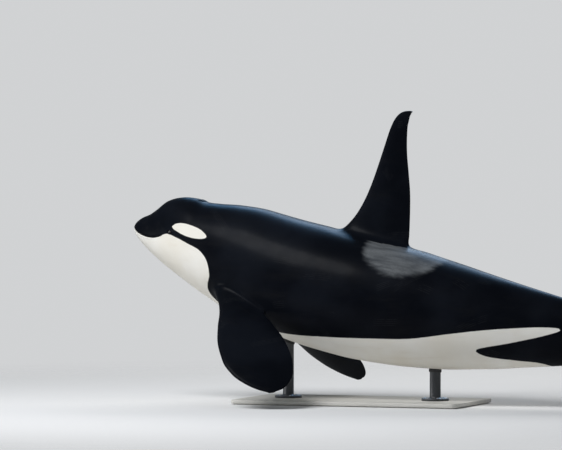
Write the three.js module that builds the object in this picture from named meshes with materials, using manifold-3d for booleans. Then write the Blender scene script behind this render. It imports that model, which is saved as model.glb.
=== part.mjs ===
// A life-size display model of an adult male orca, surfacing with its head raised, on a plain stand.
// Millimetres, +Z up. The head points to -X and the left side faces -Y. The origin is the centre of the
// underside of the stand's base, on the floor.
// Places along the body are stations: fractions of the length, from the snout (0) to the notch of the
// flukes (1). Heights and half-widths in the tables are per cent of the length, measured from the spine line.

import * as THREE from "three";
import { mergeVertices } from "three/addons/utils/BufferGeometryUtils.js";
import Module from "manifold-3d";

const wasm = await Module();
wasm.setup();

// Driving dimensions
const LENGTH = 7100;
const PER_CENT = LENGTH / 100;
const SNOUT_HEIGHT = 1950;
const GAP = 0.3;
const BODY_COLUMNS = 40;
const WIDE = 1500; // reach of a cutting sheet to each side of the middle

// Degrees that the spine line falls towards the tail, by station
const PITCH = [
  [0, 17.5],
  [0.15, 17],
  [0.3, 14.5],
  [0.45, 12],
  [0.7, 7],
  [0.9, 2],
  [1, 0],
];

// Outline of the body: station, top, bottom, half-width, height of the widest line
const BODY = [
  [0, -0.35, -0.35, 0, -0.35],
  [0.004, 0.65, -1.2, 1.2, -0.35],
  [0.01, 1.35, -1.8, 1.85, -0.35],
  [0.02, 2.16, -2.45, 2.5, -0.3],
  [0.03, 3.38, -2.95, 3.0, -0.25],
  [0.042, 5.03, -3.5, 3.55, -0.2],
  [0.058, 6.08, -4.15, 4.2, -0.1],
  [0.074, 6.63, -4.75, 4.8, 0],
  [0.092, 6.88, -5.35, 5.4, 0],
  [0.103, 6.82, -5.7, 5.75, 0],
  [0.125, 7.2, -6.4, 6.35, -0.2],
  [0.16, 8.03, -7.4, 7.15, -0.5],
  [0.205, 8.62, -8.5, 7.95, -0.8],
  [0.26, 8.7, -9.4, 8.65, -0.9],
  [0.325, 8.9, -9.9, 9.05, -0.8],
  [0.38, 9.0, -9.95, 9.05, -0.6],
  [0.45, 8.85, -9.5, 8.5, -0.4],
  [0.53, 8.15, -8.5, 7.35, -0.2],
  [0.6, 7.25, -7.15, 6.05, 0],
  [0.68, 6.1, -5.5, 4.4, 0.1],
  [0.76, 4.85, -4.05, 2.9, 0.2],
  [0.84, 3.75, -2.95, 1.85, 0.2],
  [0.91, 2.75, -2.15, 1.3, 0.2],
  [0.96, 1.55, -1.2, 1.05, 0.15],
  [0.98, 0.98, -0.66, 0.82, 0.15],
  [0.99, 0.56, -0.26, 0.5, 0.15],
  [0.9965, 0.24, 0.06, 0.14, 0.15],
];

// Fullness of the section above and below the widest line: 2 is an ellipse, less has a ridge
const FULLNESS = [
  [0, 2.0, 2.2],
  [0.05, 2.05, 2.3],
  [0.15, 2.1, 2.15],
  [0.4, 2.05, 2.1],
  [0.6, 1.85, 1.95],
  [0.8, 1.6, 1.65],
  [1, 1.6, 1.6],
];

// A smooth curve through the points that never overshoots them, as a function
function through(points, column = 1) {
  const xs = points.map((p) => p[0]);
  const ys = points.map((p) => p[column]);
  const slopes = xs.slice(1).map((x, i) => (ys[i + 1] - ys[i]) / (x - xs[i]));
  const tangents = xs.map((_, i) => {
    if (i === 0) return slopes[0];
    if (i === xs.length - 1) return slopes[i - 1];
    const [a, b] = [slopes[i - 1], slopes[i]];
    return a * b <= 0 ? 0 : (2 * a * b) / (a + b);
  });
  return (x) => {
    const at = Math.min(Math.max(x, xs[0]), xs[xs.length - 1]);
    let i = 0;
    while (i < xs.length - 2 && at > xs[i + 1]) i += 1;
    const step = xs[i + 1] - xs[i];
    const t = (at - xs[i]) / step;
    const rise = t * t * (3 - 2 * t);
    const bend = t * (1 - t);
    return (
      ys[i] * (1 - rise) +
      ys[i + 1] * rise +
      step * bend * (tangents[i] * (1 - t) - tangents[i + 1] * t)
    );
  };
}

const pitchAt = through(PITCH);
const rooted = BODY.map((row) => [Math.sqrt(row[0]), ...row.slice(1)]);
const [topAt, bottomAt, widthAt, waistAt] = [1, 2, 3, 4].map((column) => {
  const curve = through(rooted, column);
  return (station) => curve(Math.sqrt(Math.max(station, 0)));
});
const fullAbove = through(FULLNESS, 1);
const fullBelow = through(FULLNESS, 2);

// The spine line as points at even steps, from the snout
const SPINE_STEPS = 400;
const spineLine = [{ x: 0, z: 0 }];
for (let i = 0; i < SPINE_STEPS; i += 1) {
  const angle = THREE.MathUtils.degToRad(pitchAt((i + 0.5) / SPINE_STEPS));
  const last = spineLine[i];
  spineLine.push({
    x: last.x + (Math.cos(angle) * LENGTH) / SPINE_STEPS,
    z: last.z - (Math.sin(angle) * LENGTH) / SPINE_STEPS,
  });
}

function spineAt(station) {
  const at = Math.min(Math.max(station, 0), 1) * SPINE_STEPS;
  const i = Math.min(Math.floor(at), SPINE_STEPS - 1);
  const [a, b] = [spineLine[i], spineLine[i + 1]];
  const angle = THREE.MathUtils.degToRad(pitchAt(station));
  const beyond = (station - Math.min(Math.max(station, 0), 1)) * LENGTH;
  return {
    x: a.x + (b.x - a.x) * (at - i) + beyond * Math.cos(angle),
    z: a.z + (b.z - a.z) * (at - i) - beyond * Math.sin(angle),
    angle,
  };
}

const BASE_STATION = 0.388; // the body's balance point
const SNOUT_X = -spineAt(BASE_STATION).x;

// A point in space from its station, its height off the spine line and its distance to the right, in mm
function place(station, height, side = 0) {
  const { x, z, angle } = spineAt(station);
  return new THREE.Vector3(
    SNOUT_X + x + height * Math.sin(angle),
    side,
    SNOUT_HEIGHT + z + height * Math.cos(angle),
  );
}

// A point on the body's surface: turn 0 is the right flank, a quarter turn the back
function onBody(station, turn, grow = 0) {
  const c = Math.cos(turn);
  const s = Math.sin(turn);
  const waist = waistAt(station) * PER_CENT;
  const reach =
    s > 0
      ? topAt(station) * PER_CENT - waist
      : waist - bottomAt(station) * PER_CENT;
  const full = s > 0 ? fullAbove(station) : fullBelow(station);
  const side =
    Math.sign(c) * Math.abs(c) ** (2 / full) * (widthAt(station) * PER_CENT + grow);
  const height = waist + Math.sign(s) * Math.abs(s) ** (2 / full) * (reach + grow);
  return place(station, height, side);
}

// A closed solid from points and faces, with its faces turned outwards
function solid(points, faces) {
  const geometry = new THREE.BufferGeometry().setFromPoints(points);
  geometry.setIndex(faces.flat());
  const made = toSolid(geometry);
  if (made.volume() > 0) return made;
  geometry.setIndex(faces.map((face) => [...face].reverse()).flat());
  return toSolid(geometry);
}

function toSolid(geometry) {
  const bare = geometry.clone();
  bare.deleteAttribute("normal");
  bare.deleteAttribute("uv");
  const merged = mergeVertices(bare, 1e-3);
  const mesh = new wasm.Mesh({
    numProp: 3,
    vertProperties: new Float32Array(merged.attributes.position.array),
    triVerts: new Uint32Array(merged.index.array),
  });
  return new wasm.Manifold(mesh);
}

// A closed tube of rings that all have the same number of points, with a fan at each end
function loft(rings) {
  const count = rings[0].length;
  const points = rings.flat();
  const faces = [];
  for (let i = 0; i < rings.length - 1; i += 1) {
    for (let j = 0; j < count; j += 1) {
      const next = (j + 1) % count;
      const [a, b] = [i * count + j, i * count + next];
      const [c, d] = [a + count, b + count];
      faces.push([a, c, d], [a, d, b]);
    }
  }
  for (const [ring, turned] of [
    [0, true],
    [rings.length - 1, false],
  ]) {
    const middle = rings[ring]
      .reduce((sum, p) => sum.clone().add(p), new THREE.Vector3())
      .divideScalar(count);
    points.push(middle);
    const centre = points.length - 1;
    for (let j = 0; j < count; j += 1) {
      const [a, b] = [ring * count + j, ring * count + ((j + 1) % count)];
      faces.push(turned ? [centre, a, b] : [centre, b, a]);
    }
  }
  return solid(points, faces);
}

// Two faces over one grid, alike triangle for triangle, closed along all four sides.
// pointOn(u, v, side) has side 1 or -1, and u and v from 0 to 1. The faces share their points at v = 0.
function sandwich(across, along, pointOn) {
  const points = [];
  const index = new Map();
  for (const side of [1, -1])
    for (let i = 0; i <= along; i += 1)
      for (let j = 0; j <= across; j += 1) {
        if (side === -1 && j === 0) {
          index.set(`-1,${i},0`, index.get(`1,${i},0`));
          continue;
        }
        index.set(`${side},${i},${j}`, points.length);
        points.push(pointOn(i / along, j / across, side));
      }
  const at = (side, i, j) => index.get(`${side},${i},${j}`);
  const faces = [];
  const add = (a, b, c) => {
    if (a !== b && b !== c && a !== c) faces.push([a, b, c]);
  };
  for (let i = 0; i < along; i += 1)
    for (let j = 0; j < across; j += 1) {
      const corners = (side) => [
        at(side, i, j),
        at(side, i + 1, j),
        at(side, i + 1, j + 1),
        at(side, i, j + 1),
      ];
      const [a, b, c, d] = corners(1);
      add(a, b, c);
      add(a, c, d);
      const [e, f, g, h] = corners(-1);
      add(e, g, f);
      add(e, h, g);
    }
  for (let i = 0; i < along; i += 1) {
    const [a, b] = [at(1, i, across), at(1, i + 1, across)];
    const [c, d] = [at(-1, i, across), at(-1, i + 1, across)];
    add(a, b, d);
    add(a, d, c);
  }
  for (const [row, turned] of [
    [0, false],
    [along, true],
  ])
    for (let j = 0; j < across; j += 1) {
      const [a, b] = [at(1, row, j), at(1, row, j + 1)];
      const [c, d] = [at(-1, row, j), at(-1, row, j + 1)];
      if (turned) {
        add(a, d, b);
        add(a, c, d);
      } else {
        add(a, b, d);
        add(a, d, c);
      }
    }
  return solid(points, faces);
}

// Even steps from 0 to 1 drawn closer together towards 1, where a fin's outline turns most
const TIP_CROWDING = 1.5;

function towardsTip(step) {
  return 1 - (1 - step) ** TIP_CROWDING;
}

// Steps from 0 to 1 drawn closer together at both ends, for the chord of a fin
function towardsEdges(step) {
  return 0.5 - 0.5 * Math.cos(Math.PI * step);
}

// Half the thickness of a fin's section, blunt in front and thin behind, for a thickness of 1
const FOIL_TERMS = [
  [0.5, 1.4845],
  [1, -0.63],
  [2, -1.758],
  [3, 1.4215],
  [4, -0.5075],
]; // power of the share of the chord, and its weight

function foilHalf(chord) {
  return FOIL_TERMS.reduce((sum, [power, weight]) => sum + weight * chord ** power, 0);
}

// Body
const HEAD_END = 0.165;
const HEAD_RINGS = 18;
const FIRST_RING = 0.4; // in front of the second, where the others are 1 apart
const SNOUT_CROWDING = 1.8;
const TRUNK_RINGS = 20;
const TAIL_END_RINGS = 4;

function bodyStations() {
  const head = Array.from(
    { length: HEAD_RINGS },
    (_, i) => HEAD_END * ((i + FIRST_RING) / HEAD_RINGS) ** SNOUT_CROWDING,
  );
  const tailEnd = BODY.slice(-TAIL_END_RINGS).map((row) => row[0]);
  const trunk = Array.from(
    { length: TRUNK_RINGS },
    (_, i) => HEAD_END + ((tailEnd[0] - HEAD_END) * i) / TRUNK_RINGS,
  );
  return [...head, ...trunk, ...tailEnd];
}

function body(grow = 0) {
  return loft(
    bodyStations().map((station) =>
      Array.from({ length: BODY_COLUMNS }, (_, j) =>
        onBody(station, (j / BODY_COLUMNS) * 2 * Math.PI, grow),
      ),
    ),
  );
}

// Dorsal fin: share of its height, then the leading and the trailing edge behind the fin's station, in mm
const FIN_STATION = 0.325;
const FIN_HEIGHT = 1449;
const FIN_EDGES = [
  [-0.12, -60, 880],
  [0, 52, 852],
  [0.05, 107, 836],
  [0.15, 184, 808],
  [0.27, 239, 772],
  [0.4, 275, 727],
  [0.55, 301, 657],
  [0.7, 322, 586],
  [0.82, 339, 546],
  [0.9, 362, 529],
  [0.955, 400, 529],
  [0.98, 436, 536],
  [0.993, 471, 542],
  [1, 508, 551],
];
const FIN_THICKNESS = [
  [-0.12, 300],
  [0, 190],
  [0.08, 128],
  [0.25, 96],
  [0.6, 58],
  [1, 20],
];
const FIN_EDGE_THICKNESS = 9;
const FIN_LEAN_STATION = 0.365; // the fin stands square to the spine line here
const FIN_GRID = [8, 20];

function dorsalFin() {
  const leading = through(FIN_EDGES, 1);
  const trailing = through(FIN_EDGES, 2);
  const thickness = through(FIN_THICKNESS);
  const low = FIN_EDGES[0][0];
  const { angle } = spineAt(FIN_LEAN_STATION);
  const foot = place(FIN_STATION, topAt(FIN_STATION) * PER_CENT);
  const back = new THREE.Vector3(Math.cos(angle), 0, -Math.sin(angle));
  const up = new THREE.Vector3(Math.sin(angle), 0, Math.cos(angle));
  return sandwich(...FIN_GRID, (u, v, side) => {
    const rise = low + (1 - low) * towardsTip(u);
    const chord = towardsEdges(v);
    const behind = leading(rise) + (trailing(rise) - leading(rise)) * chord;
    const half = foilHalf(chord) * thickness(rise) + (v > 0 ? FIN_EDGE_THICKNESS / 2 : 0);
    return foot
      .clone()
      .addScaledVector(back, behind)
      .addScaledVector(up, rise * FIN_HEIGHT)
      .add(new THREE.Vector3(0, side * half, 0));
  });
}

// Flippers: share of the reach, then the leading and the trailing edge off the flipper's axis, in mm
const FLIPPER_STATION = 0.222;
const FLIPPER_TURN = THREE.MathUtils.degToRad(-33);
const FLIPPER_REACH = 1480;
const FLIPPER_DROOP = THREE.MathUtils.degToRad(30);
const FLIPPER_SWEEP = THREE.MathUtils.degToRad(33);
const FLIPPER_EDGES = [
  [-0.16, 250, -290],
  [0, 225, -230],
  [0.12, 238, -235],
  [0.3, 290, -320],
  [0.5, 325, -415],
  [0.68, 305, -450],
  [0.82, 225, -435],
  [0.92, 95, -375],
  [0.98, -40, -290],
  [1, -120, -215],
];
const FLIPPER_THICKNESS = [
  [-0.16, 260],
  [0, 165],
  [0.12, 122],
  [0.4, 92],
  [0.8, 52],
  [1, 24],
];
const FLIPPER_EDGE_THICKNESS = 14;
const FLIPPER_CURVE = 130; // how far the tip bends down
const FLIPPER_GRID = [8, 18];

function flipper(hand) {
  const leading = through(FLIPPER_EDGES, 1);
  const trailing = through(FLIPPER_EDGES, 2);
  const thickness = through(FLIPPER_THICKNESS);
  const low = FLIPPER_EDGES[0][0];
  const { angle } = spineAt(FLIPPER_STATION);
  const root = onBody(FLIPPER_STATION, FLIPPER_TURN);
  const back = new THREE.Vector3(Math.cos(angle), 0, -Math.sin(angle));
  const up = new THREE.Vector3(Math.sin(angle), 0, Math.cos(angle));
  const out = new THREE.Vector3(0, 1, 0);
  const reach = out
    .clone()
    .multiplyScalar(Math.cos(FLIPPER_DROOP))
    .addScaledVector(up, -Math.sin(FLIPPER_DROOP))
    .multiplyScalar(Math.cos(FLIPPER_SWEEP))
    .addScaledVector(back, Math.sin(FLIPPER_SWEEP));
  const flat = new THREE.Vector3().crossVectors(back, reach).normalize();
  const fore = new THREE.Vector3().crossVectors(reach, flat).normalize();
  const sign = fore.dot(back) > 0 ? -1 : 1;
  fore.multiplyScalar(sign);
  const topSide = flat.dot(up) > 0 ? flat : flat.clone().negate();
  return sandwich(...FLIPPER_GRID, (u, v, side) => {
    const span = low + (1 - low) * towardsTip(u);
    const chord = towardsEdges(v);
    const ahead = leading(span) + (trailing(span) - leading(span)) * chord;
    const half = foilHalf(chord) * thickness(span) + (v > 0 ? FLIPPER_EDGE_THICKNESS / 2 : 0);
    const point = root
      .clone()
      .addScaledVector(reach, span * FLIPPER_REACH)
      .addScaledVector(fore, ahead)
      .addScaledVector(topSide, side * half - FLIPPER_CURVE * Math.max(span, 0) ** 2);
    point.y *= hand;
    return point;
  });
}

// Flukes: share of the half-span, then the leading and the trailing edge ahead of the notch, in mm
const FLUKE_SPAN = 1130;
const FLUKE_EDGES = [
  [0, 650, 112],
  [0.045, 598, 88],
  [0.08, 562, 15],
  [0.13, 518, -55],
  [0.25, 437, -90],
  [0.42, 330, -74],
  [0.6, 215, -60],
  [0.76, 92, -64],
  [0.88, -12, -84],
  [0.95, -72, -108],
  [1, -120, -140],
];
const FLUKE_THICKNESS = [
  [0, 150],
  [0.06, 122],
  [0.14, 102],
  [0.3, 82],
  [0.6, 48],
  [1, 20],
];
const FLUKE_EDGE_THICKNESS = 9;
const FLUKE_LIFT = 60;
const FLUKE_CURL = 250; // how far a male's fluke tips curl down
const FLUKE_CURL_POWER = 2.6;
const NOTCH_RISE = 10;
const FLUKE_GRID = [8, 36];

function flukes() {
  const leading = through(FLUKE_EDGES, 1);
  const trailing = through(FLUKE_EDGES, 2);
  const thickness = through(FLUKE_THICKNESS);
  return sandwich(...FLUKE_GRID, (u, v, side) => {
    const across = 2 * u - 1;
    const share = Math.sign(across) * towardsTip(Math.abs(across));
    const span = Math.abs(share);
    const chord = towardsEdges(v);
    const ahead = leading(span) + (trailing(span) - leading(span)) * chord;
    const half = foilHalf(chord) * thickness(span) + (v > 0 ? FLUKE_EDGE_THICKNESS / 2 : 0);
    const rise = NOTCH_RISE + FLUKE_LIFT * span - FLUKE_CURL * span ** FLUKE_CURL_POWER;
    return place(1 - ahead / LENGTH, rise + side * half, share * FLUKE_SPAN);
  });
}

// A thin upright sheet through the whole body, along a line in side view given as [station, height]
function sheetAlong(line, gap = GAP) {
  const flat = line.map(([station, height]) => {
    const p = place(station, height * PER_CENT);
    return new THREE.Vector2(p.x, p.z);
  });
  const offset = (sign) =>
    flat.map((p, i) => {
      const along = flat[Math.min(i + 1, flat.length - 1)].clone().sub(flat[Math.max(i - 1, 0)]);
      along.normalize();
      return new THREE.Vector2(p.x - (along.y * sign * gap) / 2, p.y + (along.x * sign * gap) / 2);
    });
  return sideExtrusion([...offset(1), ...offset(-1).reverse()]);
}

// A flat outline raised along z from 0 to a height
function upright(outline, height) {
  const settings = { depth: height, bevelEnabled: false };
  return toSolid(new THREE.ExtrudeGeometry(new THREE.Shape(outline), settings));
}

// A flat outline in side view pushed through the body from one side to the other
function sideExtrusion(outline, from = -WIDE, to = WIDE) {
  const geometry = new THREE.ExtrudeGeometry(new THREE.Shape(outline), {
    depth: to - from,
    bevelEnabled: false,
  });
  geometry.rotateX(Math.PI / 2);
  geometry.translate(0, to, 0);
  return toSolid(geometry);
}

// Points of a smooth line in side view through a few [station, height] marks
function smoothLine(marks, count) {
  const curve = new THREE.SplineCurve(marks.map(([s, h]) => new THREE.Vector2(s * 100, h)));
  return curve.getSpacedPoints(count).map((p) => [p.x / 100, p.y]);
}

// Lines where the body is parted, in side view
const MOUTH = [
  [-0.012, -0.6],
  [0, -0.62],
  [0.015, -0.95],
  [0.03, -1.02],
  [0.045, -0.75],
  [0.055, -0.3],
  [0.061, 0.1],
];
const WHITE_EDGE = [
  [0.061, 0.1],
  [0.072, 0.74],
  [0.09, 0.7],
  [0.11, 0.5],
  [0.136, 0.15],
  [0.154, -1.0],
  [0.168, -3.2],
  [0.182, -5.5],
  [0.205, -7.6],
  [0.245, -8.6],
  [0.3, -8.3],
  [0.37, -6.9],
  [0.44, -5.4],
  [0.5, -4.1],
  [0.555, -2.3],
  [0.61, -0.7],
  [0.67, 0.6],
  [0.712, 1.15],
  [0.722, 0.8],
  [0.69, -0.6],
  [0.64, -2.4],
  [0.6, -3.9],
  [0.615, -4.75],
  [0.66, -4.7],
  [0.7, -4.75],
  [0.735, -6.4],
];
const SADDLE_EDGE = [
  [0.385, 12],
  [0.392, 8.2],
  [0.408, 6.0],
  [0.44, 4.9],
  [0.475, 5.2],
  [0.5, 6.4],
  [0.515, 8.2],
  [0.522, 11],
];
const JAW_CUT = [
  [0.0605, 0.08],
  [0.075, -3],
  [0.1, -9],
];
const TAIL_CUT_STATION = 0.575;
const FLUKE_CUT_STATION = 0.902;
const FLANK_PATCH_STATION = 0.6; // the white edge doubles back behind this one
const OUTSIDE = 12; // a height beyond the back and the belly, per cent
const MOUTH_STEPS = 16;
const WHITE_STEPS = 80;
const SADDLE_STEPS = 24;

// The cuts that part the body into its named pieces
function partingSheets() {
  const mouth = smoothLine(MOUTH, MOUTH_STEPS);
  const white = smoothLine(WHITE_EDGE, WHITE_STEPS);
  const off = (p) => Math.abs(p[0] - TAIL_CUT_STATION);
  const tailFoot = white
    .filter((p) => p[0] < FLANK_PATCH_STATION)
    .reduce((best, p) => (off(p) < off(best) ? p : best));
  const across = (station) =>
    sheetAlong([
      [station, -OUTSIDE],
      [station, OUTSIDE],
    ]);
  return [
    sheetAlong([...mouth, ...white.slice(1)]),
    sheetAlong(JAW_CUT),
    across(HEAD_END),
    sheetAlong([tailFoot, [tailFoot[0], OUTSIDE]]),
    across(FLUKE_CUT_STATION),
    sheetAlong(smoothLine(SADDLE_EDGE, SADDLE_STEPS)),
  ];
}

// The flank's distance from the middle at a station and a height
function flankAt(station, height) {
  const waist = waistAt(station);
  const reach = height > waist ? topAt(station) - waist : waist - bottomAt(station);
  const full = height > waist ? fullAbove(station) : fullBelow(station);
  const share = Math.min(Math.abs(height - waist) / reach, 1);
  return widthAt(station) * PER_CENT * (1 - share ** full) ** (1 / full);
}

// A point on the right flank from its station and height
function onFlank(station, height) {
  return place(station, height * PER_CENT, flankAt(station, height));
}

// The frame of a spot on the right flank: x towards the tail, y up along the skin and z outwards
const BESIDE = 0.004; // a step along the flank, as a station
const ABOVE = 0.4; // a step up the flank, per cent

function flankFrame(station, height, sunk) {
  const at = onFlank(station, height);
  const [behind, ahead] = [BESIDE, -BESIDE].map((step) => onFlank(station + step, height));
  const [over, under] = [ABOVE, -ABOVE].map((step) => onFlank(station, height + step));
  const back = behind.sub(ahead).normalize();
  const rise = over.sub(under).normalize();
  const out = new THREE.Vector3().crossVectors(back, rise).normalize();
  if (out.y < 0) out.negate();
  const up = new THREE.Vector3().crossVectors(out, back).normalize();
  at.addScaledVector(out, -sunk);
  return new THREE.Matrix4().makeBasis(back, up, out).setPosition(at);
}

function moved(shape, matrix) {
  return shape.transform(matrix.elements);
}

function mirrored(shape) {
  return shape.mirror([0, 1, 0]);
}

// Eyes: a ball in its socket behind two lids
const EYE_STATION = 0.0745;
const EYE_HEIGHT = 1.15;
const EYE_RADIUS = 27;
const EYE_SUNK = 15;
const LID_RADII = [50, 38, 34];
const EYE_OPENING = [27, 13]; // half its length and half its height
const EYE_CORNER = 0.35; // how much the opening narrows towards its corners
const BALL_GRID = [20, 12];
const OPENING_STEPS = 24;

function eyeShapes() {
  const frame = flankFrame(EYE_STATION, EYE_HEIGHT, EYE_SUNK);
  const ball = (radius) => new THREE.SphereGeometry(radius, ...BALL_GRID);
  const almond = Array.from({ length: OPENING_STEPS }, (_, i) => {
    const turn = (i / OPENING_STEPS) * 2 * Math.PI;
    const tip = Math.abs(Math.cos(turn));
    const rise = Math.sin(turn) * (1 - EYE_CORNER * tip ** 3);
    return new THREE.Vector2(EYE_OPENING[0] * Math.cos(turn), EYE_OPENING[1] * rise);
  });
  const outside = 2 * LID_RADII[2];
  return {
    ball: moved(toSolid(ball(EYE_RADIUS)), frame),
    socket: moved(toSolid(ball(EYE_RADIUS + GAP)), frame),
    lids: moved(toSolid(ball(1).scale(...LID_RADII)), frame),
    opening: moved(upright(almond, outside), frame),
  };
}

// The line of the mouth: a groove with soft lips, round the snout from corner to corner
const LIP_GROOVE = 8; // radius of the tube that is cut away
const LIP_MARKS = 20;
const LIP_RINGS = 64;
const LIP_SIDES = 6;
const LIP_TIP_STATION = 0.0005;

function lipGroove() {
  const corner = MOUTH[MOUTH.length - 1];
  const front = MOUTH[1];
  const line = smoothLine(MOUTH.slice(1), LIP_MARKS).reverse();
  const side = line.filter(([s]) => s > 4 * LIP_TIP_STATION).map(([s, h]) => onFlank(s, h));
  const tip = place(LIP_TIP_STATION, front[1] * PER_CENT);
  const beyond = onFlank(corner[0] + BESIDE, corner[1] + ABOVE);
  beyond.y += LIP_GROOVE;
  const otherSide = [beyond, ...side].map((p) => new THREE.Vector3(p.x, -p.y, p.z)).reverse();
  const path = new THREE.CatmullRomCurve3([beyond, ...side, tip, ...otherSide]);
  return loft(tubeRings(path, LIP_RINGS, LIP_GROOVE, LIP_SIDES));
}

// Rings of points for a tube along a path
function tubeRings(path, steps, radius, sides) {
  const frames = path.computeFrenetFrames(steps, false);
  return Array.from({ length: steps + 1 }, (_, i) =>
    Array.from({ length: sides }, (_, j) => {
      const turn = (j / sides) * 2 * Math.PI;
      return path
        .getPointAt(i / steps)
        .addScaledVector(frames.normals[i], radius * Math.cos(turn))
        .addScaledVector(frames.binormals[i], radius * Math.sin(turn));
    }),
  );
}

// The blowhole: a crescent whose horns point forward, a little open
const BLOWHOLE_STATION = 0.1;
const BLOWHOLE_HALF = 62;
const BLOWHOLE_OPEN = 26;
const BLOWHOLE_BOW = 46;
const BLOWHOLE_DEPTH = 55;
const BLOWHOLE_STEPS = 12;

function blowhole() {
  const edge = (gape) =>
    Array.from({ length: BLOWHOLE_STEPS + 1 }, (_, i) => {
      const across = (2 * i) / BLOWHOLE_STEPS - 1;
      const bow = -BLOWHOLE_BOW * across ** 2 + gape * (1 - across ** 2) ** 0.5;
      return new THREE.Vector2(bow, across * BLOWHOLE_HALF);
    });
  const rear = edge(BLOWHOLE_OPEN / 2);
  const front = edge(-BLOWHOLE_OPEN / 2).slice(1, -1).reverse();
  const shape = upright([...rear, ...front], BLOWHOLE_DEPTH * 2);
  const { angle } = spineAt(BLOWHOLE_STATION);
  const at = place(BLOWHOLE_STATION, topAt(BLOWHOLE_STATION) * PER_CENT - BLOWHOLE_DEPTH);
  const matrix = new THREE.Matrix4().makeRotationY(angle).setPosition(at);
  return moved(shape, matrix);
}

// White patch behind and above each eye: [station, height] round its edge
const EYE_PATCH = [
  [0.0752, 2.05],
  [0.0805, 2.66],
  [0.092, 3.1],
  [0.108, 3.25],
  [0.124, 3.17],
  [0.136, 2.83],
  [0.1406, 2.4],
  [0.135, 1.97],
  [0.121, 1.6],
  [0.104, 1.49],
  [0.088, 1.63],
  [0.079, 1.79],
];
const EYE_PATCH_DEPTH = 45;
const PATCH_STEPS = 32;

// The solid behind a patch of skin on the right flank, to a depth below it
function patchPlug(marks, depth, shrink) {
  const curve = new THREE.SplineCurve(
    [...marks, marks[0]].map(([s, h]) => {
      const p = onFlank(s, h);
      return new THREE.Vector2(p.x, p.z);
    }),
  );
  const middle = new THREE.Vector2();
  const outline = curve.getSpacedPoints(PATCH_STEPS).slice(0, -1);
  outline.forEach((p) => middle.addScaledVector(p, 1 / outline.length));
  const shrunk = outline.map((p) => {
    const inward = middle.clone().sub(p);
    return p.clone().addScaledVector(inward.normalize(), shrink);
  });
  const inside = Math.min(...marks.map(([s, h]) => flankAt(s, h))) - depth + shrink;
  return sideExtrusion(shrunk, inside, WIDE);
}

// Stand
const BASE_SIZE = [2600, 1300, 50];
const BASE_CORNER = 70;
const ROD_X = [-850, 850];
const ROD_RADIUS = 60;
const COLLAR = [150, 25]; // radius and height of the foot of each rod
const CORNER_STEPS = 6;
const ROD_SIDES = 24;

function standBase() {
  const [length, width, height] = BASE_SIZE;
  const shape = new THREE.Shape();
  const [x, y] = [length / 2 - BASE_CORNER, width / 2 - BASE_CORNER];
  shape.absarc(x, y, BASE_CORNER, 0, Math.PI / 2);
  shape.absarc(-x, y, BASE_CORNER, Math.PI / 2, Math.PI);
  shape.absarc(-x, -y, BASE_CORNER, Math.PI, 1.5 * Math.PI);
  shape.absarc(x, -y, BASE_CORNER, 1.5 * Math.PI, 2 * Math.PI);
  const geometry = new THREE.ExtrudeGeometry(shape, {
    depth: height,
    bevelEnabled: false,
    curveSegments: CORNER_STEPS,
  });
  return toSolid(geometry);
}

// A round post from the top of the base
function standing(radius, height, x) {
  const geometry = new THREE.CylinderGeometry(radius, radius, height, ROD_SIDES);
  geometry.rotateX(Math.PI / 2);
  geometry.translate(x, 0, BASE_SIZE[2] + GAP + height / 2);
  return toSolid(geometry);
}

function standRod(x, above) {
  const rod = standing(ROD_RADIUS, SNOUT_HEIGHT, x);
  const collar = standing(COLLAR[0], COLLAR[1], x);
  const lengths = rod.add(collar).subtract(above).decompose();
  return lengths.reduce((low, p) => (p.boundingBox().min[2] < low.boundingBox().min[2] ? p : low));
}

// Putting it together
const grown = body(GAP);
const eye = eyeShapes();
const groove = lipGroove();
const carved = body()
  .add(eye.lids)
  .add(mirrored(eye.lids))
  .subtract(eye.socket)
  .subtract(mirrored(eye.socket))
  .subtract(eye.opening)
  .subtract(mirrored(eye.opening))
  .subtract(groove)
  .subtract(blowhole())
  .add(flukes());

const pieces = partingSheets().reduce((rest, sheet) => rest.subtract(sheet), carved).decompose();

// The piece that holds most of the space round a spot in the middle of the body
const PROBE = 6;

function pieceAt(station, height) {
  const p = place(station, height * PER_CENT);
  const box = new THREE.BoxGeometry(PROBE, PROBE, PROBE).translate(p.x, p.y, p.z);
  const probe = toSolid(box);
  const shares = pieces.map((piece) => piece.intersect(probe).volume());
  const best = shares.indexOf(Math.max(...shares));
  return pieces.splice(best, 1)[0];
}

const group = new THREE.Group();
function addNode(name, shape, colour, roughness = 0.3) {
  const made = shape.getMesh();
  const geometry = new THREE.BufferGeometry();
  geometry.setAttribute("position", new THREE.BufferAttribute(made.vertProperties, 3));
  geometry.setIndex(new THREE.BufferAttribute(made.triVerts, 1));
  geometry.computeVertexNormals();
  const material = new THREE.MeshStandardMaterial({ color: colour, roughness, metalness: 0 });
  const mesh = new THREE.Mesh(geometry, material);
  mesh.name = name;
  group.add(mesh);
}

const BLACK = 0x15171b;
const WHITE = 0xe9e6dc;
const GREY = 0x8a8f94;
const BROWN = 0x1b1410;
const PALE_PAINT = 0xb9b6ae;
const DARK_PAINT = 0x3a3c40;

const middleCut = toSolid(new THREE.BoxGeometry(2 * LENGTH, GAP, 2 * LENGTH));
const flukePair = pieceAt(0.95, 0.2).subtract(middleCut).decompose();
flukePair.sort((a, b) => a.boundingBox().min[1] - b.boundingBox().min[1]);
addNode("fluke_left", flukePair[0], BLACK);
addNode("fluke_right", flukePair[1], BLACK);

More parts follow.
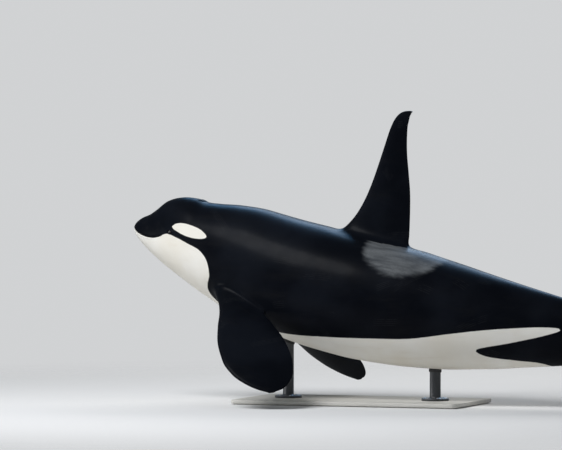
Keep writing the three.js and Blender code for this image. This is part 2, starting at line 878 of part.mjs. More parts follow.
const headPiece = pieceAt(0.1, 4);
const cutters = patchPlug(EYE_PATCH, EYE_PATCH_DEPTH, 0);
const plug = patchPlug(EYE_PATCH, EYE_PATCH_DEPTH, GAP);
addNode("head", headPiece.subtract(cutters).subtract(mirrored(cutters)), BLACK);
addNode("eye_patch_right", headPiece.intersect(plug), WHITE);
addNode("eye_patch_left", headPiece.intersect(mirrored(plug)), WHITE);
addNode("lower_jaw", pieceAt(0.04, -2), WHITE);
addNode("throat", pieceAt(0.13, -4), WHITE);
addNode("torso", pieceAt(0.25, 0), BLACK);
addNode("belly", pieceAt(0.4, -8), WHITE);
addNode("saddle", pieceAt(0.45, 8), GREY);
addNode("tail_stock", pieceAt(0.8, 0), BLACK);
addNode("eye_right", eye.ball, BROWN, 0.1);
addNode("eye_left", mirrored(eye.ball), BROWN, 0.1);
addNode("dorsal_fin", dorsalFin().subtract(grown), BLACK);
addNode("flipper_right", flipper(1).subtract(grown), BLACK);
addNode("flipper_left", flipper(-1).subtract(grown), BLACK);
addNode("stand_base", standBase(), PALE_PAINT, 0.6);
addNode("stand_rod_front", standRod(ROD_X[0], grown), DARK_PAINT, 0.5);
addNode("stand_rod_rear", standRod(ROD_X[1], grown), DARK_PAINT, 0.5);
export default group;
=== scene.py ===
# The looks of a life-size display model of an adult male orca, on its plain stand.
# Metres, +Z up: the snout points to -X, the left side faces -Y, and the floor is at Z = 0.
# A station is a share of the body's length, from the snout (0) to the notch of the flukes (1).
# Heights and half-widths in the tables are per cent of the length, off the spine line.

import math

import bmesh
import bpy
import numpy as np
from mathutils import Matrix, Vector


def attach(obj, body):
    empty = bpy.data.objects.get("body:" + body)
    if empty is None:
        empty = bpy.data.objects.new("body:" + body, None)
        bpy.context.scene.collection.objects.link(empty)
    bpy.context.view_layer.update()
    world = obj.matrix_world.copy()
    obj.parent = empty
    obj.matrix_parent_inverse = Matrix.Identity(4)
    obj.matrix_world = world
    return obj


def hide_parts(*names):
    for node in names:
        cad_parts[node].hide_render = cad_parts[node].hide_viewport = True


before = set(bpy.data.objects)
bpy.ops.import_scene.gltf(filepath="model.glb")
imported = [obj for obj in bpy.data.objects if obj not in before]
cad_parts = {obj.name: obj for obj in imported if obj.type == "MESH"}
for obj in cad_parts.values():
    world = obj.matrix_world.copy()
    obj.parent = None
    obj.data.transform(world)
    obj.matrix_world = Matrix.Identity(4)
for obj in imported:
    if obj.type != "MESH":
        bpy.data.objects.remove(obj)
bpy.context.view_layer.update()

MM = 0.001

# Driving dimensions of the body, as the solids have them
LENGTH = 7.1
PER_CENT = LENGTH / 100
SNOUT_HEIGHT = 1.95
BALANCE_STATION = 0.388

PITCH = [(0, 17.5), (0.15, 17), (0.3, 14.5), (0.45, 12), (0.7, 7), (0.9, 2), (1, 0)]

# Station, top, bottom, half-width, height of the widest line
BODY = [
    (0, -0.35, -0.35, 0, -0.35),
    (0.004, 0.65, -1.2, 1.2, -0.35),
    (0.01, 1.35, -1.8, 1.85, -0.35),
    (0.02, 2.16, -2.45, 2.5, -0.3),
    (0.03, 3.38, -2.95, 3.0, -0.25),
    (0.042, 5.03, -3.5, 3.55, -0.2),
    (0.058, 6.08, -4.15, 4.2, -0.1),
    (0.074, 6.63, -4.75, 4.8, 0),
    (0.092, 6.88, -5.35, 5.4, 0),
    (0.103, 6.82, -5.7, 5.75, 0),
    (0.125, 7.2, -6.4, 6.35, -0.2),
    (0.16, 8.03, -7.4, 7.15, -0.5),
    (0.205, 8.62, -8.5, 7.95, -0.8),
    (0.26, 8.7, -9.4, 8.65, -0.9),
    (0.325, 8.9, -9.9, 9.05, -0.8),
    (0.38, 9.0, -9.95, 9.05, -0.6),
    (0.45, 8.85, -9.5, 8.5, -0.4),
    (0.53, 8.15, -8.5, 7.35, -0.2),
    (0.6, 7.25, -7.15, 6.05, 0),
    (0.68, 6.1, -5.5, 4.4, 0.1),
    (0.76, 4.85, -4.05, 2.9, 0.2),
    (0.84, 3.75, -2.95, 1.85, 0.2),
    (0.91, 2.75, -2.15, 1.3, 0.2),
    (0.96, 1.55, -1.2, 1.05, 0.15),
    (0.98, 0.98, -0.66, 0.82, 0.15),
    (0.99, 0.56, -0.26, 0.5, 0.15),
    (0.9965, 0.24, 0.06, 0.14, 0.15),
]
FULLNESS = [
    (0, 2.0, 2.2),
    (0.05, 2.05, 2.3),
    (0.15, 2.1, 2.15),
    (0.4, 2.05, 2.1),
    (0.6, 1.85, 1.95),
    (0.8, 1.6, 1.65),
    (1, 1.6, 1.6),
]


def through(rows, column=1):
    """A smooth curve that never overshoots the rows it passes through, over their first value."""
    xs = np.array([row[0] for row in rows], float)
    ys = np.array([row[column] for row in rows], float)
    slopes = np.diff(ys) / np.diff(xs)
    product, total = slopes[:-1] * slopes[1:], slopes[:-1] + slopes[1:]
    inner = np.where(product > 0, 2 * product / np.where(product > 0, total, 1), 0)
    tangents = np.concatenate([slopes[:1], inner, slopes[-1:]])

    def curve(x):
        x = np.clip(np.asarray(x, float), xs[0], xs[-1])
        i = np.clip(np.searchsorted(xs, x, side="right") - 1, 0, len(xs) - 2)
        step = xs[i + 1] - xs[i]
        t = (x - xs[i]) / step
        rise = t * t * (3 - 2 * t)
        bend = step * t * (1 - t) * (tangents[i] * (1 - t) - tangents[i + 1] * t)
        return ys[i] * (1 - rise) + ys[i + 1] * rise + bend

    return curve


def smooth_step(low, high, x):
    t = np.clip((x - low) / (high - low), 0, 1)
    return t * t * (3 - 2 * t)


def lesser(a, b, blend):
    """The lesser of two values, rounded where they meet."""
    return -blend * np.logaddexp(-a / blend, -b / blend)


def hump(x, width):
    """A soft bump of height 1 about nought."""
    return np.exp(-((x / width) ** 2))


def unit(vector):
    return np.asarray(vector, float) / np.linalg.norm(vector)


pitch_at = through(PITCH)
OUTLINE = [through([(math.sqrt(row[0]),) + row[1:] for row in BODY], k) for k in (1, 2, 3, 4)]
fullness_above = through(FULLNESS, 1)
fullness_below = through(FULLNESS, 2)

# The spine line, in even steps
SPINE_STEPS = 400
SPINE_ROUNDS = 8
fall_of_steps = np.radians(pitch_at((np.arange(SPINE_STEPS) + 0.5) / SPINE_STEPS))
SPINE_STATIONS = np.linspace(0, 1, SPINE_STEPS + 1)
SPINE_X = np.concatenate([[0], np.cumsum(np.cos(fall_of_steps))]) * LENGTH / SPINE_STEPS
SPINE_Z = np.concatenate([[0], np.cumsum(-np.sin(fall_of_steps))]) * LENGTH / SPINE_STEPS
SNOUT_X = -np.interp(BALANCE_STATION, SPINE_STATIONS, SPINE_X)


def spine(station):
    """Place and fall of the spine line at a station."""
    inside = np.clip(station, 0, 1)
    fall = np.radians(pitch_at(station))
    beyond = (station - inside) * LENGTH
    x = SNOUT_X + np.interp(inside, SPINE_STATIONS, SPINE_X) + beyond * np.cos(fall)
    z = SNOUT_HEIGHT + np.interp(inside, SPINE_STATIONS, SPINE_Z) - beyond * np.sin(fall)
    return x, z, fall


def spine_axes(station):
    """Directions tailwards along the spine line and up from it."""
    fall = math.radians(float(pitch_at(station)))
    return np.array([math.cos(fall), 0, -math.sin(fall)]), np.array([math.sin(fall), 0, math.cos(fall)])


def place(station, height, side=0.0):
    """Points from their station, their height off the spine line and their distance to the right."""
    x, z, fall = spine(np.asarray(station, float))
    parts = np.broadcast_arrays(x + height * np.sin(fall), side, z + height * np.cos(fall))
    return np.stack(parts, axis=-1)


def section(station):
    """Top, bottom, half-width and widest line of the body at a station, in metres."""
    rooted = np.sqrt(np.clip(station, 0, 1))
    return [curve(rooted) * PER_CENT for curve in OUTLINE]


def section_point(station, turn):
    """Height and side of a point of the body's skin: turn 0 is the right flank, a quarter the back."""
    top, bottom, width, waist = section(station)
    c, s = np.cos(turn), np.sin(turn)
    reach = np.where(s > 0, top - waist, waist - bottom)
    full = np.where(s > 0, fullness_above(station), fullness_below(station))
    side = np.sign(c) * np.abs(c) ** (2 / full) * width
    return waist + np.sign(s) * np.abs(s) ** (2 / full) * reach, side


def on_body(station, turn):
    return place(station, *section_point(station, turn))


STATION_NUDGE, TURN_NUDGE = 0.0004, 0.002


def outwards(station, turn):
    """Directions out of the body's skin."""
    along = on_body(station + STATION_NUDGE, turn) - on_body(np.maximum(station - STATION_NUDGE, 0), turn)
    around = on_body(station, turn + TURN_NUDGE) - on_body(station, turn - TURN_NUDGE)
    out = np.cross(around, along)
    return out / np.linalg.norm(out, axis=-1)[..., None]


def section_shares(station, height, side):
    """Shares of the body's half-width and of its reach above or below the widest line."""
    top, bottom, width, waist = section(station)
    above = height > waist
    full = np.where(above, fullness_above(station), fullness_below(station))
    return side / width, (height - waist) / np.where(above, top - waist, waist - bottom), full


def body_coordinates(points):
    """Station, height and side of points near the body."""
    x, y, z = points[..., 0], points[..., 1], points[..., 2]
    station = (x - SNOUT_X) / LENGTH
    for _ in range(SPINE_ROUNDS):
        at_x, at_z, fall = spine(station)
        station = station + ((x - at_x) * np.cos(fall) - (z - at_z) * np.sin(fall)) / LENGTH
    at_x, at_z, fall = spine(station)
    return station, (x - at_x) * np.sin(fall) + (z - at_z) * np.cos(fall), y


def outside_body(points):
    """True for points outside the body."""
    wide, high, full = section_shares(*body_coordinates(points))
    return np.abs(wide) ** full + np.abs(high) ** full > 1


HALVINGS = 30


def leave_body(inside, outside, place_at):
    """Values on both sides of the skin, closed in on from values inside and outside the body."""
    for _ in range(HALVINGS):
        middle = (inside + outside) / 2
        out = outside_body(place_at(middle))
        inside, outside = np.where(out, inside, middle), np.where(out, middle, outside)
    return inside, outside


def on_flank(station, height, hand=1):
    """Points on a flank from their station and their height in per cent."""
    metres = np.asarray(height, float) * PER_CENT
    _, high, full = section_shares(station, metres, 0.0)
    width = section(station)[2]
    return place(station, metres, hand * width * np.clip(1 - np.abs(high) ** full, 0, 1) ** (1 / full))


FLANK_PATCH_STATION, FLANK_PATCH_HEIGHT = 0.004, 0.4


def flank_frame(station, height, hand, sunk):
    """A spot below the skin of a flank, and its directions tailwards, up and outwards."""
    near, tall = FLANK_PATCH_STATION, FLANK_PATCH_HEIGHT
    back = unit(on_flank(station + near, height, hand) - on_flank(station - near, height, hand))
    rise = unit(on_flank(station, height + tall, hand) - on_flank(station, height - tall, hand))
    out = unit(np.cross(back, rise))
    out = out * np.sign(out[1] * hand)
    up = unit(rise - back * (rise @ back))
    return on_flank(station, height, hand) - out * sunk, back, up, out


# Lines and outlines


TINY = 1e-12


def spline(marks, steps):
    """Points on a smooth curve through the marks."""
    marks = np.asarray(marks, float)
    padded = np.vstack([2 * marks[0] - marks[1], marks, 2 * marks[-1] - marks[-2]])
    t = np.linspace(0, 1, steps, endpoint=False)[:, None]
    made = []
    for a, b, c, d in zip(padded, padded[1:], padded[2:], padded[3:]):
        cubic = (3 * (b - c) + d - a) * t**3
        made.append(b + 0.5 * ((c - a) * t + (2 * a - 5 * b + 4 * c - d) * t**2 + cubic))
    return np.vstack(made + [marks[-1:]])


def distance_to_line(points, line):
    """Distance of each point to a line of points, in any number of dimensions."""
    best = np.full(len(points), np.inf)
    for start, end in zip(line[:-1], line[1:]):
        run = end - start
        share = np.clip((points - start) @ run / max(run @ run, TINY), 0, 1)
        best = np.minimum(best, np.linalg.norm(points - start - share[:, None] * run, axis=1))
    return best


def depth_inside(points, outline):
    """Distance to a closed flat outline, above nought inside it."""
    x, y = points[:, 0], points[:, 1]
    closed = np.vstack([outline, outline[:1]])
    inside = np.zeros(len(points), bool)
    for (x0, y0), (x1, y1) in zip(closed[:-1], closed[1:]):
        rise = y1 - y0 if y1 != y0 else TINY
        inside ^= ((y0 > y) != (y1 > y)) & (x < x0 + (y - y0) * (x1 - x0) / rise)
    away = distance_to_line(points, closed)
    return np.where(inside, away, -away)


# Markings in side view: station and height

MOUTH = [(0, -0.62), (0.015, -0.95), (0.03, -1.02), (0.045, -0.75), (0.055, -0.3), (0.061, 0.1)]
WHITE_EDGE = [(-0.012, -0.6)] + MOUTH + [
    (0.072, 0.74),
    (0.09, 0.7),
    (0.11, 0.5),
    (0.136, 0.15),
    (0.154, -1.0),
    (0.168, -3.2),
    (0.182, -5.5),
    (0.205, -7.6),
    (0.245, -8.6),
    (0.3, -8.3),
    (0.37, -6.9),
    (0.44, -5.4),
    (0.5, -4.1),
    (0.555, -2.3),
    (0.61, -0.7),
    (0.67, 0.6),
    (0.712, 1.15),
    (0.722, 0.8),
    (0.69, -0.6),
    (0.64, -2.4),
    (0.6, -3.9),
    (0.615, -4.75),
    (0.66, -4.7),
    (0.7, -4.75),
    (0.735, -6.4),
]
EYE_PATCH = [
    (0.0752, 2.05),
    (0.0805, 2.66),
    (0.092, 3.1),
    (0.108, 3.25),
    (0.124, 3.17),
    (0.136, 2.83),
    (0.1406, 2.4),
    (0.135, 1.97),
    (0.121, 1.6),
    (0.104, 1.49),
    (0.088, 1.63),
    (0.079, 1.79),
]
SADDLE_EDGE = [
    (0.385, 12),
    (0.392, 8.2),
    (0.408, 6.0),
    (0.44, 4.9),
    (0.475, 5.2),
    (0.5, 6.4),
    (0.515, 8.2),
    (0.522, 11),
]
PATCH_TIPS = [(0.0775, 2.05), (0.1385, 2.4)]
SIDE_VIEW = np.array([LENGTH, PER_CENT])
FAR_BELOW = -25 * PER_CENT
EDGE_STEPS, PATCH_STEPS = 8, 6


def whiteness(side_view):
    """How far spots lie inside the white of the skin, and below nought how far outside."""
    edge = spline(np.array(WHITE_EDGE) * SIDE_VIEW, EDGE_STEPS)
    corners = [(edge[-1][0], FAR_BELOW), (edge[0][0], FAR_BELOW)]
    patch = spline(np.array(EYE_PATCH + EYE_PATCH[:1]) * SIDE_VIEW, PATCH_STEPS)[:-1]
    return np.maximum(depth_inside(side_view, np.vstack([edge, corners])), depth_inside(side_view, patch))


def greyness(side_view):
    """How far spots lie inside the grey of the saddle."""
    return depth_inside(side_view, spline(np.array(SADDLE_EDGE) * SIDE_VIEW, EDGE_STEPS))


# Fins, flippers and flukes: blades that grow out of the body.
# The edges' rows are shares of a blade's length, and the front and rear of its chord in millimetres.
# The rounding is that of the rear edge and that of the tip, in metres.

FIN_STATION = 0.325
FIN_LEAN_STATION = 0.365
FIN_HEIGHT = 1.449
FIN_ROUNDING = (0.0045, 0.004)
FIN_EDGES = [
    (-0.12, -60, 880),
    (0, 52, 852),
    (0.05, 107, 836),
    (0.15, 184, 808),
    (0.27, 239, 772),
    (0.4, 275, 727),
    (0.55, 301, 657),
    (0.7, 322, 586),
    (0.82, 339, 546),
    (0.9, 362, 529),
    (0.955, 400, 529),
    (0.98, 436, 536),
    (0.993, 471, 542),
    (1, 508, 551),
]
FIN_THICKNESS = [(-0.12, 300), (0, 190), (0.08, 128), (0.25, 96), (0.6, 58), (1, 20)]

FLIPPER_STATION = 0.222
FLIPPER_TURN = math.radians(-33)
FLIPPER_REACH = 1.48
FLIPPER_DROOP = math.radians(30)
FLIPPER_SWEEP = math.radians(33)
FLIPPER_CURVE = 0.13
FLIPPER_ROUNDING = (0.007, 0.019)
FLIPPER_EDGES = [
    (-0.16, 250, -290),
    (0, 225, -230),
    (0.12, 238, -235),
    (0.3, 290, -320),
    (0.5, 325, -415),
    (0.68, 305, -450),
    (0.82, 225, -435),
    (0.92, 95, -375),
    (0.98, -40, -290),
    (1, -120, -215),
]
FLIPPER_THICKNESS = [(-0.16, 260), (0, 165), (0.12, 122), (0.4, 92), (0.8, 52), (1, 24)]

FLUKE_SPAN = 1.13
FLUKE_RISE = 0.01
FLUKE_LIFT = 0.06
FLUKE_CURL, FLUKE_CURL_POWER = 0.25, 2.6
FLUKE_ROUNDING = (0.0045, 0.004)
FLUKE_EDGES = [
    (0, 650, 112),
    (0.045, 598, 88),
    (0.08, 562, 15),
    (0.13, 518, -55),
    (0.25, 437, -90),
    (0.42, 330, -74),
    (0.6, 215, -60),
    (0.76, 92, -64),
    (0.88, -12, -84),
    (0.95, -72, -108),
    (1, -120, -140),
]
FLUKE_THICKNESS = [(0, 150), (0.06, 122), (0.14, 102), (0.3, 82), (0.6, 48), (1, 20)]


# Factors of a blade's section, for powers of its chord
FOIL_TERMS = [(1.4845, 0.5), (-0.63, 1), (-1.758, 2), (1.4215, 3), (-0.5075, 4)]


def foil_half(chord):
    """Half the thickness of a blade's section, for a thickness of 1."""
    return sum(factor * chord**power for factor, power in FOIL_TERMS)


class Blade:
    """A blade's shape, from the share of its length and the place round its section."""

    def __init__(self, edges, thickness, rounding, length, chord_axis, flat_axis, locate):
        self.leading = through(edges, 1)
        self.trailing = through(edges, 2)
        self.thickness = through(thickness)
        self.edge_round, self.tip_round = rounding
        self.length = length
        self.axes = np.array([unit(chord_axis), unit(flat_axis)])
        self.locate = locate

    def point(self, span, chord, side, out=0.0, turned=None, shrink=1.0):
        """Points of the blade, which out pushes off its section in the turned directions."""
        lead, trail = self.leading(span) * MM, self.trailing(span) * MM
        run = np.abs(trail - lead)
        along = lead + (trail - lead) * (0.5 + (chord - 0.5) * shrink)
        near = np.clip(np.minimum(chord, 1 - chord) * run / self.edge_round, 0, 1)
        rounded = np.sqrt(1 - (1 - near) ** 2)
        rear = np.where(chord > 0.5, rounded, 1)
        half = foil_half(chord) * self.thickness(span) * MM * rear + self.edge_round * rounded
        points = self.locate(span, along, side * half * shrink)
        return points if turned is None else points + out * turned @ self.axes


def dorsal_blade():
    foot = place(FIN_STATION, section(FIN_STATION)[0])
    back, up = spine_axes(FIN_LEAN_STATION)
    right = np.array([0.0, 1, 0])

    def locate(span, along, half):
        return foot + np.outer(along, back) + np.outer(span * FIN_HEIGHT, up) + np.outer(half, right)

    return Blade(FIN_EDGES, FIN_THICKNESS, FIN_ROUNDING, FIN_HEIGHT, back, right, locate)


def flipper_blade(hand):
    root = on_body(FLIPPER_STATION, FLIPPER_TURN)
    back, up = spine_axes(FLIPPER_STATION)
    out = math.cos(FLIPPER_DROOP) * np.array([0.0, 1, 0]) - math.sin(FLIPPER_DROOP) * up
    reach = math.cos(FLIPPER_SWEEP) * out + math.sin(FLIPPER_SWEEP) * back
    flat = unit(np.cross(back, reach))
    flat = flat * np.sign(flat @ up)
    fore = unit(np.cross(reach, flat))
    fore = fore * -np.sign(fore @ back)
    mirror = np.array([1, hand, 1])

    def locate(span, along, half):
        lift = half - FLIPPER_CURVE * np.maximum(span, 0) ** 2
        right = root + np.outer(span * FLIPPER_REACH, reach) + np.outer(along, fore)
        return (right + np.outer(lift, flat)) * mirror

    axes = (fore * mirror, flat * mirror)
    return Blade(FLIPPER_EDGES, FLIPPER_THICKNESS, FLIPPER_ROUNDING, FLIPPER_REACH, *axes, locate)


def fluke_blade(hand):
    def locate(span, along, half):
        curl = FLUKE_CURL * np.maximum(span, 0) ** FLUKE_CURL_POWER
        rise = FLUKE_RISE + FLUKE_LIFT * span - curl
        return place(1 - along / LENGTH, rise + half, hand * span * FLUKE_SPAN)

    axes = ((-1, 0, 0), (0, 0, 1))
    return Blade(FLUKE_EDGES, FLUKE_THICKNESS, FLUKE_ROUNDING, FLUKE_SPAN, *axes, locate)


# The loop of points round a blade's section, and the rows of loops along it
CHORD_STEPS = 36
BLADE_ROWS = 48
FILLET_ROWS = 7
ROOT_SPAN = 0.05
TIP_CROWDING = 1.4
TIP_TURNS = np.radians([20, 40, 58, 74, 85])
eased = 0.5 - 0.5 * np.cos(np.pi * np.arange(CHORD_STEPS + 1) / CHORD_STEPS)
LOOP_CHORD = np.concatenate([eased, eased[-2:0:-1]])
LOOP_SIDE = np.concatenate([[0], np.ones(CHORD_STEPS - 1), [0], -np.ones(CHORD_STEPS - 1)])


def blade_rows(blade, fillet, inner, outer):
    """Rows of points from where a blade's flared root meets the body to its tip, and their spans."""
    flat = blade.point(np.full_like(LOOP_CHORD, ROOT_SPAN), LOOP_CHORD, LOOP_SIDE) @ blade.axes.T
    turned = np.roll(flat, -1, axis=0) - np.roll(flat, 1, axis=0)
    turned = np.stack([turned[:, 1], -turned[:, 0]], axis=1)
    turned /= np.linalg.norm(turned, axis=1)[:, None]
    turned *= np.sign(np.sum(turned * (flat - flat.mean(0))))

    def flared(span):
        return blade.point(span, LOOP_CHORD, LOOP_SIDE, fillet, turned)

    root = leave_body(np.full_like(LOOP_CHORD, inner), np.full_like(LOOP_CHORD, outer), flared)[1]
    rows, spans = [], []
    for bend in np.linspace(0, math.pi / 2, FILLET_ROWS, endpoint=False):
        span = root + fillet * (1 - math.cos(bend)) / blade.length
        flare = fillet * (1 - math.sin(bend))
        rows.append(blade.point(span, LOOP_CHORD, LOOP_SIDE, flare, turned))
        spans.append(span)
    start = root + fillet / blade.length
    for step in np.linspace(0, 1, BLADE_ROWS):
        span = start + (1 - start) * (1 - (1 - step) ** TIP_CROWDING)
        rows.append(blade.point(span, LOOP_CHORD, LOOP_SIDE))
        spans.append(span)
    for turn in TIP_TURNS:
        span = np.full_like(LOOP_CHORD, 1 + blade.tip_round * math.sin(turn) / blade.length)
        rows.append(blade.point(span, LOOP_CHORD, LOOP_SIDE, shrink=math.cos(turn)))
        spans.append(span)
    return np.array(rows), np.array(spans)


# The skin of the body: rings of cells, with finer cells at the mouth, the slit and the patches' tips.
# A cell has a few fine steps along the body and around it.

COLUMNS = 128
ALONG, AROUND = 4, 6
NOSE_RINGS, NOSE_SPREAD = 6, 0.01
TAIL_START, TAIL_END = 0.9, 0.9965
MIDDLE_OF_NOSE, MIDDLE_OF_TAIL = -0.35, 0.15
TAIL_CAP, NOSE_WHITE = 0.0005, -0.02
RING_SPACING = through([(0, 1.2), (0.15, 1.2), (0.24, 4.6), (0.86, 4.6), (0.93, 1.8), (1, 1.6)])


def ring_stations():
    """Stations of the rings, crowded at the snout and fitted to the end of the tail."""
    made = list((NOSE_SPREAD * np.arange(1, NOSE_RINGS + 1)) ** 2)
    while made[-1] < TAIL_END:
        made.append(made[-1] + RING_SPACING(made[-1]) * MM)
    made = np.array(made)
    fitted = TAIL_START + (made - TAIL_START) * (TAIL_END - TAIL_START) / (made[-1] - TAIL_START)
    return np.where(made > TAIL_START, fitted, made)


STATIONS = ring_stations()


def grid_place(rows, columns):
    """Stations and turns of places on the grid, in fine steps along and around."""
    station = np.interp(np.asarray(rows) / ALONG, np.arange(len(STATIONS)), STATIONS)
    return station, np.asarray(columns) / (COLUMNS * AROUND) * 2 * math.pi - math.pi / 2


# Eyes: half-length and half-height of the opening and of the lids' ring, and the lids' dome
EYE_STATION, EYE_HEIGHT = 0.0745, 1.15
EYE_RADIUS, EYE_SUNK = 0.027, 0.015
EYE_OPENING = (0.027, 0.0125)
EYE_CORNER, EYE_CORNER_POWER = 0.35, 3
LID_REACH = (0.047, 0.035, 0.032)
LID_RING = (0.064, 0.052)
LID_BLEND, LID_FADE = 0.005, 0.7
# Height of the rim, and its middle and width in shares of the opening
LID_RIM = (0.0014, 1.16, 0.13)
# Depth, half-length, half-height, middle and width of the folds, and where their fading starts and ends
LID_FOLDS = [
    (0.0024, 0.034, 0.0225, -0.001, 0.09, -0.004, 0.008),
    (0.0014, 0.035, 0.0245, 0.003, 0.08, 0.002, -0.01),
]
# Shares of the opening and drops below the lids of the rows that turn in, and shares of those behind
LID_TURNS_IN = [(0.985, 0.0007), (0.965, 0.0022), (0.95, 0.0045)]
BEHIND_LIDS = [0.94, 0.8, 0.55, 0.3]
BALL_GAP, LID_DEPTH = 0.003, 0.013
# Shares of the opening where the shade painted into the eye starts and where it is full
LID_SHADE = (1.12, 0.99)

# The blowhole: its half-width, its opening and how far its crescent bows, and the ring round it
BLOWHOLE_STATION = 0.1
BLOWHOLE_HALF, BLOWHOLE_OPEN, BLOWHOLE_BOW = 0.062, 0.022, 0.046
BLOWHOLE_RING = (0.062, 0.1, -0.02)
# Height of the blowhole's lips, and the gap over which shade is painted into its opening, in metres
BLOWHOLE_LIP, BLOWHOLE_SHADE = 0.005, 0.003
LIP_BESIDE, LIP_FADE = 0.009, 0.6
HORN_SHARE, RING_TWIST = 0.2, 0.5
BLOWHOLE_DROPS = [(0.96, 0.001), (0.88, 0.004), (0.75, 0.012), (0.6, 0.026), (0.5, 0.045)]

HOLE_ROWS, HOLE_CROWDING = 20, 1.5
HOLE_COLUMNS = 80
HOLE_TURNS = np.arange(HOLE_COLUMNS) / HOLE_COLUMNS * 2 * math.pi

# Grooves: depth, width, and height, distance and width of the swelling along each side
MOUTH_GROOVE = (0.009, 0.0055, 0.0025, 0.014, 0.006)
SLIT_GROOVE = (0.006, 0.006, 0.003, 0.014, 0.007)
# Painted shade along the mouth and the slit: its share at the groove's line and its width, in metres
MOUTH_SHADE, SLIT_SHADE = (0.9, 0.0045), (0.7, 0.005)
MOUTH_STEPS, MOUTH_START = 8, 0.0003
SLIT, SLIT_MARKS = (0.612, 0.642), 12
SLIT_TURN = -math.pi / 2
NEAR_MOUTH, NEAR_SLIT, NEAR_TIP = 0.034, 0.03, 0.042


def mouth_line():
    """The line of the mouth, round the snout from corner to corner."""
    marks = spline(MOUTH, MOUTH_STEPS)
    marks = marks[marks[:, 0] > MOUTH_START]
    right, left = (on_flank(marks[:, 0], marks[:, 1], hand) for hand in (1, -1))
    return np.vstack([right[::-1], [place(0, MOUTH[0][1] * PER_CENT)], left])


def slit_line():
    """The slit in the middle of the belly, near the tail."""
    stations = np.linspace(*SLIT, SLIT_MARKS)
    return on_body(stations, np.full_like(stations, SLIT_TURN))


def near_details(points):
    """True for middles of cells that the mouth, the slit or a tip of an eye patch reach."""
    close = distance_to_line(points, mouth_line()) < NEAR_MOUTH
    close |= distance_to_line(points, slit_line()) < NEAR_SLIT
    for tip in PATCH_TIPS:
        for hand in (1, -1):
            close |= np.linalg.norm(points - on_flank(*tip, hand), axis=1) < NEAR_TIP
    return close


def groove(away, depth, width, swelling, beside, swelling_width):
    """Height of the skin across a groove, by the distance from its line."""
    return swelling * hump(away - beside, swelling_width) - depth * hump(away, width)


def relief(points, normals):
    """Moves of the skin for its grooves, and how much shade is painted into them."""
    mouth = distance_to_line(points, mouth_line())
    slit = distance_to_line(points, slit_line())
    rise = groove(mouth, *MOUTH_GROOVE) + groove(slit, *SLIT_GROOVE)
    lines = ((mouth, *MOUTH_SHADE), (slit, *SLIT_SHADE))
    depths = [share * hump(away, width) for away, share, width in lines]
    return normals * rise[:, None], np.maximum(*depths)


class Spot:
    """A frame on the skin: x tailwards, y across and z outwards."""

    def __init__(self, middle, *axes):
        self.middle, self.axes = middle, np.array(axes)

    def at(self, x, y, z):
        return self.middle + np.stack([x, y, z], axis=-1) @ self.axes

    def skin(self, x, y, reach=0.1):
        """Heights of the body's bare skin."""
        return leave_body(np.full_like(x, -reach), np.full_like(x, reach), lambda z: self.at(x, y, z))[0]


def eye_narrowing(share):
    """How the opening of an eye narrows towards its corners."""
    return 1 - EYE_CORNER * np.abs(share) ** EYE_CORNER_POWER


def eye_share(x, y):
    """Share of the way from an eye's middle to the edge of its opening."""
    long, tall = EYE_OPENING
    return np.hypot(x / long, y / (tall * eye_narrowing(np.clip(x / long, -1, 1))))


def lid_height(x, y, skin):
    """Height of the lids round an eye, over bare skin of a height."""
    long, tall, proud = LID_REACH
    dome = proud * np.sqrt(np.clip(1 - (x / long) ** 2 - (y / tall) ** 2, 0, 1))
    rim, rim_share, rim_width = LID_RIM
    lid = -lesser(-dome, -skin, LID_BLEND) + rim * hump(eye_share(x, y) - rim_share, rim_width)
    for depth, long, tall, middle, width, start, end in LID_FOLDS:
        ring = np.hypot(x / long, (y - middle) / tall)
        lid = lid - depth * hump(ring - 1, width) * smooth_step(start, end, y)
    fade = smooth_step(1, LID_FADE, np.hypot(x / LID_RING[0], y / LID_RING[1]))
    return skin + (lid - skin) * fade


def eye_rows(hand):
    """Rows of points from the skin round an eye over its lids to behind the ball, and the shade painted
    on them.
    """
    spot = Spot(*flank_frame(EYE_STATION, EYE_HEIGHT, hand, EYE_SUNK))
    c, s = np.cos(HOLE_TURNS), np.sin(HOLE_TURNS)
    opening = np.stack([EYE_OPENING[0] * c, EYE_OPENING[1] * s * eye_narrowing(c)])
    rim = np.stack([LID_RING[0] * c, LID_RING[1] * s])
    rows, dark = [], []
    for share in np.linspace(1, 0, HOLE_ROWS) ** HOLE_CROWDING:
        x, y = opening + (rim - opening) * share
        rows.append(spot.at(x, y, lid_height(x, y, spot.skin(x, y))))
        dark.append(smooth_step(*LID_SHADE, eye_share(x, y)))
    lid = lid_height(*opening, spot.skin(*opening))
    for share, drop in LID_TURNS_IN:
        rows.append(spot.at(*(opening * share), lid - drop))
        dark.append(np.ones_like(c))
    for share in BEHIND_LIDS:
        x, y = opening * share
        ball = np.sqrt(np.clip(EYE_RADIUS**2 - x**2 - y**2, 0, 1))
        under = lid_height(x, y, spot.skin(x, y)) - LID_DEPTH
        rows.append(spot.at(x, y, np.maximum(ball - BALL_GAP, under)))
        dark.append(np.ones_like(c))
    return np.array(rows), np.array(dark), spot.axes[2]


